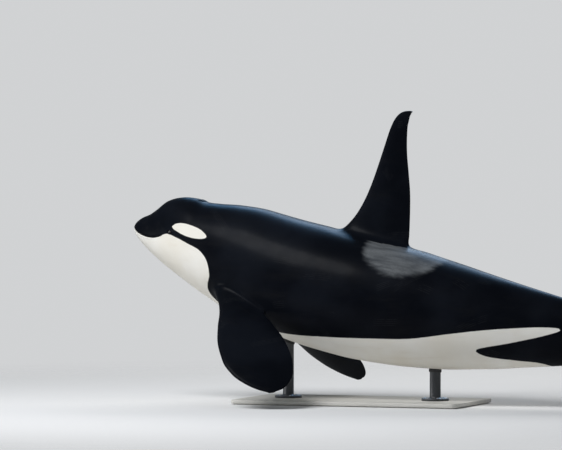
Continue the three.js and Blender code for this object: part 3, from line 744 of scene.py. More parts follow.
def blowhole_rows():
    """Rows of points from the skin round the blowhole over its lips to its floor, and the shade painted
    on them.
    """
    back, up = spine_axes(BLOWHOLE_STATION)
    spot = Spot(place(BLOWHOLE_STATION, section(BLOWHOLE_STATION)[0]), back, (0, 1, 0), up)
    c, s = np.cos(HOLE_TURNS), np.sin(HOLE_TURNS)

    def crescent(share):
        half = BLOWHOLE_HALF * (1 - HORN_SHARE * (1 - share))
        return np.stack([BLOWHOLE_OPEN / 2 * s * share - BLOWHOLE_BOW * c**2, half * c])

    opening = crescent(1.0)
    long, wide, ahead = BLOWHOLE_RING
    turned = HOLE_TURNS - RING_TWIST * c
    rim = np.stack([ahead + long * np.sin(turned), wide * np.cos(turned)])
    rows, dark = [], []
    for share in np.linspace(1, 0, HOLE_ROWS) ** HOLE_CROWDING:
        x, y = opening + (rim - opening) * share
        gap = np.hypot(x[:, None] - opening[0], y[:, None] - opening[1]).min(axis=1)
        lip = BLOWHOLE_LIP * hump(gap - LIP_BESIDE, LIP_BESIDE) * smooth_step(1, LIP_FADE, share)
        rows.append(spot.at(x, y, spot.skin(x, y) + lip))
        dark.append(smooth_step(BLOWHOLE_SHADE, 0, gap))
    for share, drop in BLOWHOLE_DROPS:
        x, y = crescent(share)
        rows.append(spot.at(x, y, spot.skin(x, y) - drop))
        dark.append(np.ones_like(c))
    return np.array(rows), np.array(dark), spot.axes[2]


OPENING_MARGIN = 0.85  # in cells


def limb_opening(ring):
    """Cells of the body's grid that a limb's root covers, with a margin."""
    station, height, side = body_coordinates(ring)
    wide, high, full = section_shares(station, height, side)
    turn = np.arctan2(
        np.sign(high) * np.abs(high) ** (full / 2), np.sign(wide) * np.abs(wide) ** (full / 2)
    )
    column = ((turn + math.pi / 2) % (2 * math.pi)) / (2 * math.pi) * COLUMNS
    outline = np.stack([np.interp(station, STATIONS, np.arange(len(STATIONS))), column], axis=1)
    rows, columns = np.meshgrid(np.arange(len(STATIONS) - 1), np.arange(COLUMNS), indexing="ij")
    middles = np.stack([rows.ravel() + 0.5, columns.ravel() + 0.5], axis=1)
    return (depth_inside(middles, outline) > -OPENING_MARGIN).reshape(rows.shape)


def grid_key(row, column):
    """Number of a corner of the grid, counted in fine steps."""
    return row * COLUMNS * AROUND + column % (COLUMNS * AROUND)


def edge_keys(start, end, finely):
    """Corners from one corner up to the next, with the corners of finer neighbours."""
    steps = max(abs(end[0] - start[0]), abs(end[1] - start[1])) if finely else 1
    run = [(end[0] - start[0]) // steps, (end[1] - start[1]) // steps]
    return [grid_key(start[0] + run[0] * k, start[1] + run[1] * k) for k in range(steps)]


def grid_faces(dense, open_cells):
    """Faces of the body's grid, as keys of their corners, with fine faces in the dense cells."""
    square = ((0, 0), (0, 1), (1, 1), (1, 0))
    faces = []
    last = len(STATIONS) - 2
    for i in range(last + 1):
        for j in range(COLUMNS):
            if open_cells[i, j]:
                continue
            top, left = i * ALONG, j * AROUND
            if dense[i, j]:
                for row in range(top, top + ALONG):
                    for column in range(left, left + AROUND):
                        faces.append([grid_key(row + a, column + b) for a, b in square])
                continue
            a, b = (top, left), (top, left + AROUND)
            c, d = (top + ALONG, left + AROUND), (top + ALONG, left)
            faces.append(
                edge_keys(a, b, i > 0 and dense[i - 1, j])
                + edge_keys(b, c, dense[i, (j + 1) % COLUMNS])
                + edge_keys(c, d, i < last and dense[i + 1, j])
                + edge_keys(d, a, dense[i, j - 1])
            )
    return faces


def opening_loop(cells, dense):
    """Corners round a patch of open cells, in order."""
    after = {}
    for i, j in zip(*np.nonzero(cells)):
        sides = [
            ((i - 1, j), (i, j), (i, j + 1)),
            ((i, j + 1), (i, j + 1), (i + 1, j + 1)),
            ((i + 1, j), (i + 1, j + 1), (i + 1, j)),
            ((i, j - 1), (i + 1, j), (i, j)),
        ]
        for beyond, start, end in sides:
            if not cells[beyond]:
                after[start] = (end, dense[beyond])
    first = start = next(iter(after))
    loop = []
    while not loop or start != first:
        end, finely = after[start]
        loop += edge_keys(*((row * ALONG, column * AROUND) for row, column in (start, end)), finely)
        start = end
    return loop


def zip_loops(points, outer, inner):
    """Triangles between two closed loops, with the least length of edges across."""
    gaps = np.linalg.norm(points[outer][:, None] - points[inner][None], axis=2)
    start = int(np.argmin(gaps[0]))
    inner = inner[start:] + inner[:start]
    gaps = np.roll(gaps, -start, axis=1)
    n, m = len(outer), len(inner)
    cost = np.full((n + 1, m + 1), np.inf)
    cost[0, 0] = 0
    from_outer = np.zeros((n + 1, m + 1), bool)
    for i in range(n + 1):
        for j in range(m + 1):
            if i == j == 0:
                continue
            up = cost[i - 1, j] if i else np.inf
            across = cost[i, j - 1] if j else np.inf
            from_outer[i, j] = up <= across
            cost[i, j] = min(up, across) + gaps[i % n, j % m]
    faces = []
    i, j = n, m
    while i or j:
        if from_outer[i, j]:
            faces.append((outer[i - 1], outer[i % n], inner[j % m]))
            i -= 1
        else:
            faces.append((inner[j % m], inner[j - 1], outer[i % n]))
            j -= 1
    return faces


def row_faces(start, rows, n):
    """Faces between rows of n points each, closed into rings."""
    return [
        tuple(start + (row + a) * n + (k + b) % n for a, b in ((0, 0), (0, 1), (1, 1), (1, 0)))
        for row in range(rows - 1)
        for k in range(n)
    ]


def tip_faces(last):
    """Faces that close the last row of a blade."""
    n = len(LOOP_CHORD)
    upper = [last + k for k in range(CHORD_STEPS + 1)]
    lower = [last + (n - k) % n for k in range(CHORD_STEPS + 1)]
    faces = [(upper[0], upper[1], lower[1]), (upper[-2], upper[-1], lower[-2])]
    return faces + [(upper[k], upper[k + 1], lower[k + 1], lower[k]) for k in range(1, CHORD_STEPS - 1)]


# Dark margins of a fluke's white underside: width, and height and number of their waves
FLUKE_FRONT = (0.05, [(0.012, 13)])
FLUKE_REAR = (0.08, [(0.02, 19), (0.012, 41)])
FLUKE_WHITE_SPANS = (0.11, 0.93)
FLUKE_TOP = -0.06


def fluke_whiteness(spans):
    """The white underside of a fluke, inside a dark margin."""
    blade = fluke_blade(1)
    run = (blade.leading(spans) - blade.trailing(spans)) * MM
    inside = np.minimum(spans - FLUKE_WHITE_SPANS[0], FLUKE_WHITE_SPANS[1] - spans) * FLUKE_SPAN
    for chord, (margin, waves) in ((LOOP_CHORD, FLUKE_FRONT), (1 - LOOP_CHORD, FLUKE_REAR)):
        wavy = margin + sum(height * np.sin(number * spans) for height, number in waves)
        inside = np.minimum(inside, chord * run - wavy)
    return np.where(LOOP_SIDE < 0, inside, FLUKE_TOP)


# Each limb's blade, its flare in metres, and shares of its length inside and outside the body
LIMBS = [
    (dorsal_blade(), 0.05, -0.12, 0.3),
    (flipper_blade(1), 0.035, -0.4, 0.5),
    (flipper_blade(-1), 0.035, -0.4, 0.5),
    (fluke_blade(1), 0.022, 0.0, 0.3),
    (fluke_blade(-1), 0.022, 0.0, 0.3),
]
NOWHERE = -0.2  # well outside a marking
LIMB_AROUND = 3.0
# Margins of the white round the flippers and lips and of the grey round the fin, and their blends
FLIPPER_MARGIN, FLIPPER_BLEND, FLIPPER_NEAR = 0.035, 0.045, 0.4
FIN_MARGIN, FIN_BLEND = 0.01, 0.01
LIP_MARGIN, LIP_BLEND = 0.006, 0.012
SMALL = 1e-6


def girth_place(points):
    """How far up from the belly spots of the skin lie, along its girth."""
    station, height, side = body_coordinates(points)
    top, bottom, width, waist = section(station)
    across = np.abs(side) / np.maximum(width, SMALL)
    down = (waist - height) / (top - bottom + SMALL) * 2
    return np.arctan2(across, down) * (width + (top - bottom) / 2) / 2


class Graft:
    """Rows of points that grow out of the skin: a limb, or the edges of a hole."""

    def __init__(self, rows, white, dark, facing, limb=False, around=None):
        self.rows, self.facing, self.limb = rows, facing, limb
        flat = rows.reshape(-1, 3)
        station, height, _ = body_coordinates(flat)
        if white is None:
            white = whiteness(np.stack([station * LENGTH, height], axis=1))
        grey = np.full(len(flat), NOWHERE)
        around = girth_place(flat) if around is None else np.ravel(around)
        self.marks = np.stack([np.ravel(white), grey, np.ravel(dark), station * LENGTH, around], axis=1)

    def faces(self, start):
        count, n = self.rows.shape[:2]
        last = start + (count - 1) * n
        closing = tip_faces(last) if self.limb else [tuple(range(last, last + n))]
        return row_faces(start, count, n) + closing


def make_grafts():
    """The fin, flippers and flukes, and the edges of the eyes and blowhole."""
    grafts = []
    for blade, *sizes in LIMBS:
        rows, spans = blade_rows(blade, *sizes)
        white = fluke_whiteness(spans) if blade.length == FLUKE_SPAN else np.full(spans.shape, NOWHERE)
        away = rows[len(rows) // 3].mean(0) - rows[0].mean(0)
        around = LIMB_AROUND + spans * blade.length
        grafts.append(Graft(rows, white, np.zeros(spans.shape), away, True, around))
    for rows, dark, facing in (eye_rows(1), eye_rows(-1), blowhole_rows()):
        grafts.append(Graft(rows, None, dark, facing))
    return grafts


def body_marks(station, height, points, grafts):
    """Markings of the body's own skin: how far inside the white and the grey."""
    side_view = np.stack([station * LENGTH, height], axis=1)
    from_fin, *from_flippers = (
        distance_to_line(points, np.vstack([graft.rows[0], graft.rows[0][:1]])) for graft in grafts[:3]
    )
    mouth = distance_to_line(points, mouth_line())
    white = whiteness(side_view) - LIP_MARGIN * hump(mouth, LIP_BLEND)
    away = np.minimum(*from_flippers) - FLIPPER_MARGIN
    white = np.where(away < FLIPPER_NEAR, lesser(white, away, FLIPPER_BLEND), white)
    return white, lesser(greyness(side_view), from_fin - FIN_MARGIN, FIN_BLEND)


def skin_shape():
    """Points, faces and markings of the whole skin, and the points along its limbs' roots."""
    rows, columns = np.meshgrid(np.arange(len(STATIONS) - 1), np.arange(COLUMNS), indexing="ij")
    middles = on_body(*grid_place((rows.ravel() + 0.5) * ALONG, (columns.ravel() + 0.5) * AROUND))
    grafts = make_grafts()
    patches = [limb_opening(graft.rows[0]) for graft in grafts]
    open_cells = np.any(patches, axis=0)
    dense = near_details(middles).reshape(rows.shape) & ~open_cells
    dense[:NOSE_RINGS] = False
    keyed = grid_faces(dense, open_cells)
    keys = np.unique(np.concatenate([np.array(face) for face in keyed]))
    number = {key: k for k, key in enumerate(keys.tolist())}
    faces = [tuple(number[key] for key in face) for face in keyed]

    station, turn = grid_place(keys // (COLUMNS * AROUND), keys % (COLUMNS * AROUND))
    height, side = section_point(station, turn)
    body = place(station, height, side)
    moves, dark = relief(body, outwards(station, turn))
    white, grey = body_marks(station, height, body, grafts)
    nose = place(0, MIDDLE_OF_NOSE * PER_CENT)
    tail = place(TAIL_END + TAIL_CAP, MIDDLE_OF_TAIL * PER_CENT)
    points = [body + moves, [nose, tail]]
    around = girth_place(body)
    marks = [np.stack([white, grey, dark, station * LENGTH, around], axis=1)]
    marks.append([[NOSE_WHITE, NOWHERE, 0, 0, 0], [NOWHERE, NOWHERE, 0, LENGTH, 0]])
    nose_at, tail_at = len(body), len(body) + 1
    last_row = (len(STATIONS) - 1) * ALONG
    for k in range(COLUMNS):
        a, b = k * AROUND, (k + 1) * AROUND
        faces.append((nose_at, number[grid_key(0, b)], number[grid_key(0, a)]))
        faces.append((tail_at, number[grid_key(last_row, a)], number[grid_key(last_row, b)]))

    seam = []
    count = tail_at + 1
    for graft, patch in zip(grafts, patches):
        n = graft.rows.shape[1]
        points.append(graft.rows.reshape(-1, 3))
        marks.append(graft.marks)
        everything = np.vstack(points)
        outer = [number[key] for key in opening_loop(patch, dense)]
        inner = list(range(count, count + n))
        middle = everything[inner].mean(0)
        spokes = [everything[loop] - middle for loop in (outer, inner)]
        turned = [np.cross(a, np.roll(a, -1, axis=0)).sum(0) @ graft.facing for a in spokes]
        if turned[0] * turned[1] < 0:
            inner = inner[::-1]
        faces += graft.faces(count) + zip_loops(everything, outer, inner)
        seam += inner if graft.limb else []
        count = len(everything)
    return np.vstack(points), faces, np.vstack(marks), seam


SEAM_REACH, SEAM_CORE = 0.13, 0.02
SEAM_ROUNDS, SEAM_PULL = 40, 0.6
AT_ONCE = 4000


def smooth_near(points, faces, seam):
    """Evens out the skin round the limbs' roots."""
    close = points[seam][None, ::2]
    away = []
    for part in range(0, len(points), AT_ONCE):
        away.append(np.linalg.norm(points[part : part + AT_ONCE, None] - close, axis=2).min(axis=1))
    weight = SEAM_PULL * smooth_step(SEAM_REACH, SEAM_CORE, np.concatenate(away))
    edges = np.array([(a, b) for face in faces for a, b in zip(face, face[1:] + face[:1])])
    edges = edges[(weight[edges] > 0).any(axis=1)]
    for _ in range(SEAM_ROUNDS):
        total, count = np.zeros_like(points), np.zeros(len(points))
        for a, b in ((0, 1), (1, 0)):
            np.add.at(total, edges[:, a], points[edges[:, b]])
            np.add.at(count, edges[:, a], 1)
        mean = total / np.maximum(count, 1)[:, None]
        points = np.where((count > 0)[:, None], points + (mean - points) * weight[:, None], points)
    return points


def make_mesh(name, points, faces):
    """A smooth mesh with all its faces turned outwards."""
    mesh = bpy.data.meshes.new(name)
    mesh.from_pydata(np.asarray(points).tolist(), [], [tuple(map(int, face)) for face in faces])
    work = bmesh.new()
    work.from_mesh(mesh)
    bmesh.ops.recalc_face_normals(work, faces=work.faces)
    if work.calc_volume(signed=True) < 0:
        bmesh.ops.reverse_faces(work, faces=work.faces)
    work.to_mesh(mesh)
    work.free()
    mesh.shade_smooth()
    return mesh


def add_object(name, data):
    made = bpy.data.objects.new(name, data)
    bpy.context.scene.collection.objects.link(made)
    return made


def add_piece(name, mesh, material, slot, *nodes):
    """Shows a finished mesh as a piece of the model, in place of the solids' nodes."""
    mesh.materials.append(material)
    made = add_object(name, mesh)
    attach(made, "root")
    if nodes:
        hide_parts(*nodes)
    return made


# Trees of nodes: what is reckoned with wires becomes nodes


class Wire:
    """The output of a node, to reckon with."""

    def __init__(self, tree, socket):
        self.tree, self.socket = tree, socket

    def _math(self, operation, *values):
        return self.tree.add("ShaderNodeMath", {"operation": operation}, dict(enumerate(values)))

    def __add__(self, other):
        return self._math("ADD", self, other)

    def __sub__(self, other):
        return self._math("SUBTRACT", self, other)

    def __rsub__(self, other):
        return self._math("SUBTRACT", other, self)

    def __mul__(self, other):
        return self._math("MULTIPLY", self, other)

    def __truediv__(self, other):
        return self._math("DIVIDE", self, other)

    __radd__ = __add__
    __rmul__ = __mul__

    def size(self):
        return self._math("ABSOLUTE", self)

    def most(self, other):
        return self._math("MAXIMUM", self, other)

    def power(self, other):
        return self._math("POWER", self, other)

    def fraction(self):
        return self._math("FRACT", self)

    def above(self, other):
        return self._math("GREATER_THAN", self, other)

    def sibling(self, name):
        """Another output of the same node."""
        return Wire(self.tree, self.socket.node.outputs[name])

    def parts(self):
        """The three numbers of a vector."""
        made = self.tree.add("ShaderNodeSeparateXYZ", {}, {"Vector": self})
        return made, made.sibling("Y"), made.sibling("Z")

    def between(self, low, high):
        """Nought below low, one above high and smooth between."""
        values = {"Value": self, "From Min": low, "From Max": high}
        return self.tree.add("ShaderNodeMapRange", {"interpolation_type": "SMOOTHSTEP"}, values)


class Tree:
    """A tree of nodes."""

    def __init__(self, tree):
        self.nodes, self.links = tree.nodes, tree.links

    def put(self, node, values):
        """Sets inputs of a node, or links them to wires."""
        for name, value in values.items():
            if isinstance(value, Wire):
                self.links.new(value.socket, node.inputs[name])
            else:
                node.inputs[name].default_value = value

    def add(self, kind, settings, values, output=0):
        """Any node, with its settings made first and then its values and links."""
        node = self.nodes.new(kind)
        for name, value in settings.items():
            setattr(node, name, value)
        self.put(node, values)
        return Wire(self, node.outputs[output])


class Look(Tree):
    """A material and its nodes."""

    def __init__(self, name):
        self.material = bpy.data.materials.new(name)
        self.material.use_nodes = True
        super().__init__(self.material.node_tree)
        self.shader = self.nodes["Principled BSDF"]

    def where(self):
        """Object coordinates."""
        return self.add("ShaderNodeTexCoord", {}, {}, "Object")

    def stretched(self, scale, turn=(0, 0, 0)):
        """Object coordinates, turned and drawn out."""
        values = {"Vector": self.where(), "Scale": scale, "Rotation": turn}
        return self.add("ShaderNodeMapping", {}, values)

    def noise(self, scale, detail=3.0, roughness=0.5, at=None, warp=0.0):
        values = {"Scale": scale, "Detail": detail, "Roughness": roughness, "Distortion": warp}
        return self.add("ShaderNodeTexNoise", {}, {"Vector": at or self.where(), **values})

    def attribute(self, name):
        return self.add("ShaderNodeAttribute", {"attribute_name": name}, {}, "Fac")

    def mix(self, share, first, second):
        """A colour between two others."""
        colours = [value if isinstance(value, Wire) else (*value, 1) for value in (first, second)]
        values = {0: share, 6: colours[0], 7: colours[1]}
        return self.add("ShaderNodeMix", {"data_type": "RGBA"}, values, 2)

    def bump(self, height, strength, distance):
        values = {"Height": height, "Strength": strength, "Distance": distance}
        return self.add("ShaderNodeBump", {}, values)

    def finish(self, **values):
        self.put(self.shader, {name.replace("_", " "): value for name, value in values.items()})
        return self.material


BODY_FALL = (0, math.radians(-12), 0)

# Healed scratches, in metres: the gap between lines, their half-width in gaps and what they fade over,
# their shortest half-length and what chance adds, how far they turn and bend, and the sets' flattening
RAKE_GAP = 0.021
RAKE_LINE = (0.03, 0.11)
RAKE_LENGTH, RAKE_MORE = 0.07, 0.14
# What a set fades over, as shares of its half-length and in metres across, and the noise that breaks it
RAKE_ENDS, RAKE_SIDES, RAKE_BREAKS = (0.7, 1), (RAKE_GAP * 1.8, RAKE_GAP * 2), (22, 3)
RAKE_TURN, RAKE_BEND = 1.9, 0.35
RAKE_SIDEWAYS = 0.3
MANY_GAPS = 100


def rake_marks(look, scale, share):
    """Healed scratches in sets of parallel lines, each set in its own direction."""
    side = look.where().parts()[1] * RAKE_SIDEWAYS
    values = {"X": look.attribute("along"), "Y": side, "Z": look.attribute("around")}
    spread = look.add("ShaderNodeCombineXYZ", {}, values)
    middle = look.add("ShaderNodeTexVoronoi", {}, {"Vector": spread, "Scale": scale}, "Position")
    turn, length, chance = middle.sibling("Color").parts()
    away = look.add("ShaderNodeVectorMath", {"operation": "SUBTRACT"}, {0: spread, 1: middle})
    values = {"Vector": away, "Angle": (turn - 0.5) * RAKE_TURN}
    x, _, z = look.add("ShaderNodeVectorRotate", {"rotation_type": "Y_AXIS"}, values).parts()
    bent = z + x * x * RAKE_BEND
    line = 1 - ((bent / RAKE_GAP + MANY_GAPS).fraction() - 0.5).size().between(*RAKE_LINE)
    ends = 1 - (x.size() / (length * RAKE_MORE + RAKE_LENGTH)).between(*RAKE_ENDS)
    sides = 1 - bent.size().between(*RAKE_SIDES)
    broken = look.noise(*RAKE_BREAKS).between(0.33, 0.55)
    return line * ends * sides * broken * chance.between(1 - share, 1.02 - share)


# Scale and detail of the skin's noises, and scale and share of its sets of scratches
FINE, SOFT, CLOUD, PORES = (38, 4), (7, 3), (1.6, 3), (150, 2)
STREAKS, STREAK_STRETCH, STREAK_WARP = (2.4, 5, 0.6), (0.5, 3.2, 3.2), 0.4
RAKES = (1.5, 0.45), (2.3, 0.3)
# What noises add to the edges of the white and the grey, and the edges' half-widths, in metres
RAGGED, WHITE_BLEND = (0.004, 0.007), 0.003
BLURRED, GREY_BLEND = (0.14, 0.05), 0.05
SKIN_ROUGH, LEAST_ROUGH = 0.36, 0.2
SKIN_COAT, COAT_CHANGE, COAT_ROUGH = 0.022, 0.03, 0.2
BLACKS = (0.0028, 0.0035, 0.0055), (0.0056, 0.007, 0.0105)
BLACK_STREAK, BLACK_SCRATCH = (0.0078, 0.0082, 0.0095), (0.075, 0.078, 0.08)
GREYS = (0.055, 0.06, 0.067), (0.14, 0.148, 0.155)
GREY_FLECK = (0.06, 0.065, 0.07)
WHITES = (0.775, 0.755, 0.705), (0.72, 0.685, 0.61)
WHITE_STAIN, WHITE_SCRATCH = (0.62, 0.56, 0.46), (0.5, 0.46, 0.41)
# Colour of the shade painted into the grooves and hollows of the skin
GROOVE_SHADE = (0.004, 0.0042, 0.005)


def skin_look():
    """Black, grey and white skin with ragged edges, streaks, scratches and a wet sheen, and shade painted
    into its grooves and hollows.
    """
    look = Look("orca_skin")
    fine, soft, cloud = look.noise(*FINE), look.noise(*SOFT), look.noise(*CLOUD)
    streaks = look.noise(*STREAKS, look.stretched(STREAK_STRETCH, BODY_FALL), STREAK_WARP)
    ragged = (fine - 0.5) * RAGGED[0] + (soft - 0.5) * RAGGED[1]
    white = (look.attribute("white") + ragged).between(-WHITE_BLEND, WHITE_BLEND)
    blurred = (streaks - 0.5) * BLURRED[0] + (soft - 0.5) * BLURRED[1]
    grey = (look.attribute("grey") + blurred).between(-GREY_BLEND, GREY_BLEND)
    large, small = (rake_marks(look, *rakes) for rakes in RAKES)
    scratches = large.most(small)

    black = look.mix(cloud.between(0.35, 0.7), *BLACKS)
    black = look.mix(streaks.between(0.5, 0.8) * 0.5, black, BLACK_STREAK)
    black = look.mix(scratches * 0.17, black, BLACK_SCRATCH)
    saddle = look.mix(streaks.between(0.3, 0.7), *GREYS)
    saddle = look.mix(fine.between(0.45, 0.75) * 0.3, saddle, GREY_FLECK)
    dark = look.mix(grey, black, saddle)
    pale = look.mix(cloud.between(0.35, 0.65), *WHITES)
    pale = look.mix(streaks.between(0.55, 0.8) * 0.4, pale, WHITE_STAIN)
    pale = look.mix(scratches * 0.35, pale, WHITE_SCRATCH)
    colour = look.mix(white, dark, pale)
    # Painted shade in the mouth and slit grooves and in the openings of the eyes and the blowhole
    colour = look.mix(look.attribute("dark"), colour, GROOVE_SHADE)

    roughness = SKIN_ROUGH + (cloud - 0.5) * 0.2 + (streaks - 0.5) * 0.16 + scratches * 0.12
    height = soft * 0.5 + fine * 0.2 + look.noise(*PORES) * 0.08 - scratches * 0.12
    return look.finish(
        Base_Color=colour,
        Roughness=roughness.most(LEAST_ROUGH),
        Normal=look.bump(height, strength=0.35, distance=0.006),
        Coat_Weight=SKIN_COAT + (soft - 0.5) * COAT_CHANGE,
        Coat_Roughness=COAT_ROUGH,
        Specular_IOR_Level=0.02,
    )


# Colours of the eyes and the stand, and the ends of an eye's rings, as shares of the way round the ball
IRIS = (0.035, 0.017, 0.009), (0.09, 0.045, 0.02)
PUPIL, IRIS_RIM, EYE_WHITE = (0.001, 0.001, 0.0015), (0.012, 0.008, 0.007), (0.16, 0.1, 0.085)
PUPIL_EDGE, IRIS_EDGE, RIM_EDGE = (0.15, 0.2), (0.36, 0.46), (0.5, 0.6)
WOOD_PAINT, WORN_PAINT = ((0.56, 0.545, 0.505), (0.66, 0.645, 0.6)), (0.53, 0.515, 0.48)
METAL_PAINT = (0.045, 0.048, 0.053), (0.065, 0.069, 0.075)
STEEL = (0.42, 0.42, 0.43), (0.62, 0.62, 0.63)
RUBBER = (0.014, 0.014, 0.015), (0.03, 0.03, 0.031)


def eye_look():
    """A glossy brown iris in rings about the ball's pole, with a dark pupil and rim."""
    look = Look("orca_eye")
    ring = look.attribute("ring")
    fibres = look.noise(420, 2)
    iris = look.mix(fibres.between(0.3, 0.7), *IRIS)
    iris = look.mix(ring.between(*IRIS_EDGE), iris, IRIS_RIM)
    colour = look.mix(ring.between(*PUPIL_EDGE), PUPIL, iris)
    colour = look.mix(ring.between(*RIM_EDGE), colour, EYE_WHITE)
    return look.finish(
        Base_Color=colour,
        Roughness=0.08 + fibres * 0.05,
        Coat_Weight=1.0,
        Coat_Roughness=0.03,
    )


def painted_wood():
    """Pale satin paint, through which the grain of the board shows."""
    look = Look("stand_paint")
    grain = look.noise(3, 6, 0.62, look.stretched((0.6, 14, 14)), 0.6)
    roller = look.noise(220, 2)
    colour = look.mix(grain.between(0.3, 0.75), *WOOD_PAINT)
    colour = look.mix(look.noise(1.4, 3).between(0.45, 0.7) * 0.35, colour, WORN_PAINT)
    height = roller * 0.35 + grain * 0.65
    return look.finish(
        Base_Color=colour,
        Roughness=0.42 + (roller - 0.5) * 0.12 + (grain - 0.5) * 0.1,
        Normal=look.bump(height, strength=0.22, distance=0.0015),
    )


def painted_metal():
    """Dark satin paint with a fine dimpled skin."""
    look = Look("stand_metal")
    orange_peel = look.noise(260, 2)
    colour = look.mix(look.noise(6, 3).between(0.4, 0.7), *METAL_PAINT)
    return look.finish(
        Base_Color=colour,
        Roughness=0.36 + (orange_peel - 0.5) * 0.16,
        Normal=look.bump(orange_peel, strength=0.2, distance=0.0008),
    )


def bright_steel():
    """Brushed steel."""
    look = Look("stand_steel")
    brushed = look.noise(90, 3, 0.5, look.stretched((1, 1, 14)))
    colour = look.mix(brushed, *STEEL)
    return look.finish(Base_Color=colour, Metallic=1.0, Roughness=0.26 + brushed * 0.16)


def soft_rubber():
    """Dull black rubber."""
    look = Look("stand_rubber")
    grit = look.noise(300, 2)
    colour = look.mix(look.noise(9, 3).between(0.4, 0.65), *RUBBER)
    bump = look.bump(grit, strength=0.3, distance=0.0008)
    return look.finish(Base_Color=colour, Roughness=0.7 + (grit - 0.5) * 0.2, Normal=bump)


# Eyes


BALL_RINGS, BALL_COLUMNS = 40, 48


def ball_mesh(hand):
    """A ball with its pole outwards, and each point's share of the way round to the back."""
    middle, back, up, out = flank_frame(EYE_STATION, EYE_HEIGHT, hand, EYE_SUNK)
    shares = np.linspace(0, 1, BALL_RINGS + 1)[1:-1]
    turns = np.arange(BALL_COLUMNS) / BALL_COLUMNS * 2 * math.pi
    polar, turn = np.meshgrid(shares * math.pi, turns, indexing="ij")
    away = np.cos(polar)[..., None] * out + (np.sin(polar) * np.cos(turn))[..., None] * back
    away = away + (np.sin(polar) * np.sin(turn))[..., None] * up
    points = np.vstack([away.reshape(-1, 3), [out], [-out]]) * EYE_RADIUS + middle
    faces = row_faces(0, len(shares), BALL_COLUMNS)
    front, rear = len(points) - 2, len(points) - 1
    last = (len(shares) - 1) * BALL_COLUMNS
    for k in range(BALL_COLUMNS):
        after = (k + 1) % BALL_COLUMNS
        faces += [(front, after, k), (rear, last + k, last + after)]
    mesh = make_mesh(f"eye_ball_{'right' if hand > 0 else 'left'}", points, faces)
    ring = np.concatenate([np.repeat(shares, BALL_COLUMNS), [0, 1]])
    mesh.attributes.new("ring", "FLOAT", "POINT").data.foreach_set("value", ring)
    return mesh


# Stand

BASE_SIZE = (2.6, 1.3, 0.05)
BASE_CORNER, BASE_EDGE = 0.07, 0.007
# Inset and height of the board's foot, which is set back
BASE_FOOT = [(0.03, 0), (0.03, 0.01), (0.002, 0.01), (0, 0.012)]
CORNER_MARKS, ROUND_MARKS = 13, 6
QUARTER = np.linspace(0, math.pi / 2, ROUND_MARKS)
ROD_X = (-0.85, 0.85)
ROD_RADIUS, ROD_COLUMNS = 0.06, 64
COLLAR_RADIUS, COLLAR_HEIGHT = 0.15, 0.025
COLLAR_EDGE, COLLAR_FILLET = 0.006, 0.022
PAD_HEIGHT, PAD_PROUD, PAD_ROUND = 0.035, 0.009, 0.005
PAD_INSIDE, PAD_SUNK = 0.004, 0.001
PAD_BEVEL = (0.002, 0.004)
PAD_MARKS = 5
BELOW_SPINE = 0.05
SCREW_HEIGHT, SCREW_SUNK = 0.008, 0.0005
SCREW_INPUTS = [
    ("Middle", "Vector", (0, 0, 0)),
    ("Circle Radius", "Float", 0.118),
    ("Screws", "Int", 6),
    ("Head Radius", "Float", 0.011),
    ("Head Height", "Float", SCREW_HEIGHT),
    ("Socket Radius", "Float", 0.0052),
    ("Finish", "Material", None),
]
SCREW_CUTS = {"Vertices": 20, "Side_Segments": 2, "Fill_Segments": 3}
# Depth of a screw's dome and the power of its curve, and depth of its socket, in shares of its height
DOME_DROP, DOME_POWER, SOCKET_DEPTH = 0.45, 2.5, 1.2
TOP_SIDE = 0.0001


def capped_mesh(name, loops):
    """A mesh of loops of points, closed at both ends."""
    n = len(loops[0])
    faces = row_faces(0, len(loops), n)
    faces += [tuple(range(n)), tuple(range((len(loops) - 1) * n, len(loops) * n))]
    return make_mesh(name, np.vstack(loops), faces)


def base_mesh():
    """A board with round corners and edges, raised on a set-back foot."""
    length, width, height = BASE_SIZE
    rounded = [(BASE_EDGE * (1 - math.cos(t)), height - BASE_EDGE * (1 - math.sin(t))) for t in QUARTER]
    corners = ((1, 1), (-1, 1), (-1, -1), (1, -1))
    loops = []
    for inset, z in BASE_FOOT + rounded:
        radius = BASE_CORNER - inset
        loop = []
        for quarter, (right, far) in enumerate(corners):
            middle_x, middle_y = right * (length / 2 - BASE_CORNER), far * (width / 2 - BASE_CORNER)
            for turn in np.linspace(0, math.pi / 2, CORNER_MARKS) + quarter * math.pi / 2:
                loop.append((middle_x + radius * math.cos(turn), middle_y + radius * math.sin(turn), z))
        loops.append(np.array(loop))
    return capped_mesh("stand_base_board", loops)


def belly_height(x, y):
    """Height of the underside of the body over spots of the floor."""
    inside = spine(np.interp(x, SNOUT_X + SPINE_X, SPINE_STATIONS))[1] - BELOW_SPINE
    below = np.full_like(x, BASE_SIZE[2])
    return leave_body(inside, below, lambda z: np.stack([x, y, z], axis=-1))[1]


def turned_mesh(name, x, profile):
    """A round piece about an upright line at x. Its profile gives each ring's radius, its height,
    and whether that height counts from the body's underside."""
    turns = np.arange(ROD_COLUMNS) / ROD_COLUMNS * 2 * math.pi
    rings = []
    for radius, z, from_belly in profile:
        at_x, at_y = x + radius * np.cos(turns), radius * np.sin(turns)
        top = belly_height(at_x, at_y) if from_belly else np.zeros_like(turns)
        rings.append(np.stack([at_x, at_y, top + z], axis=1))
    return capped_mesh(name, rings)


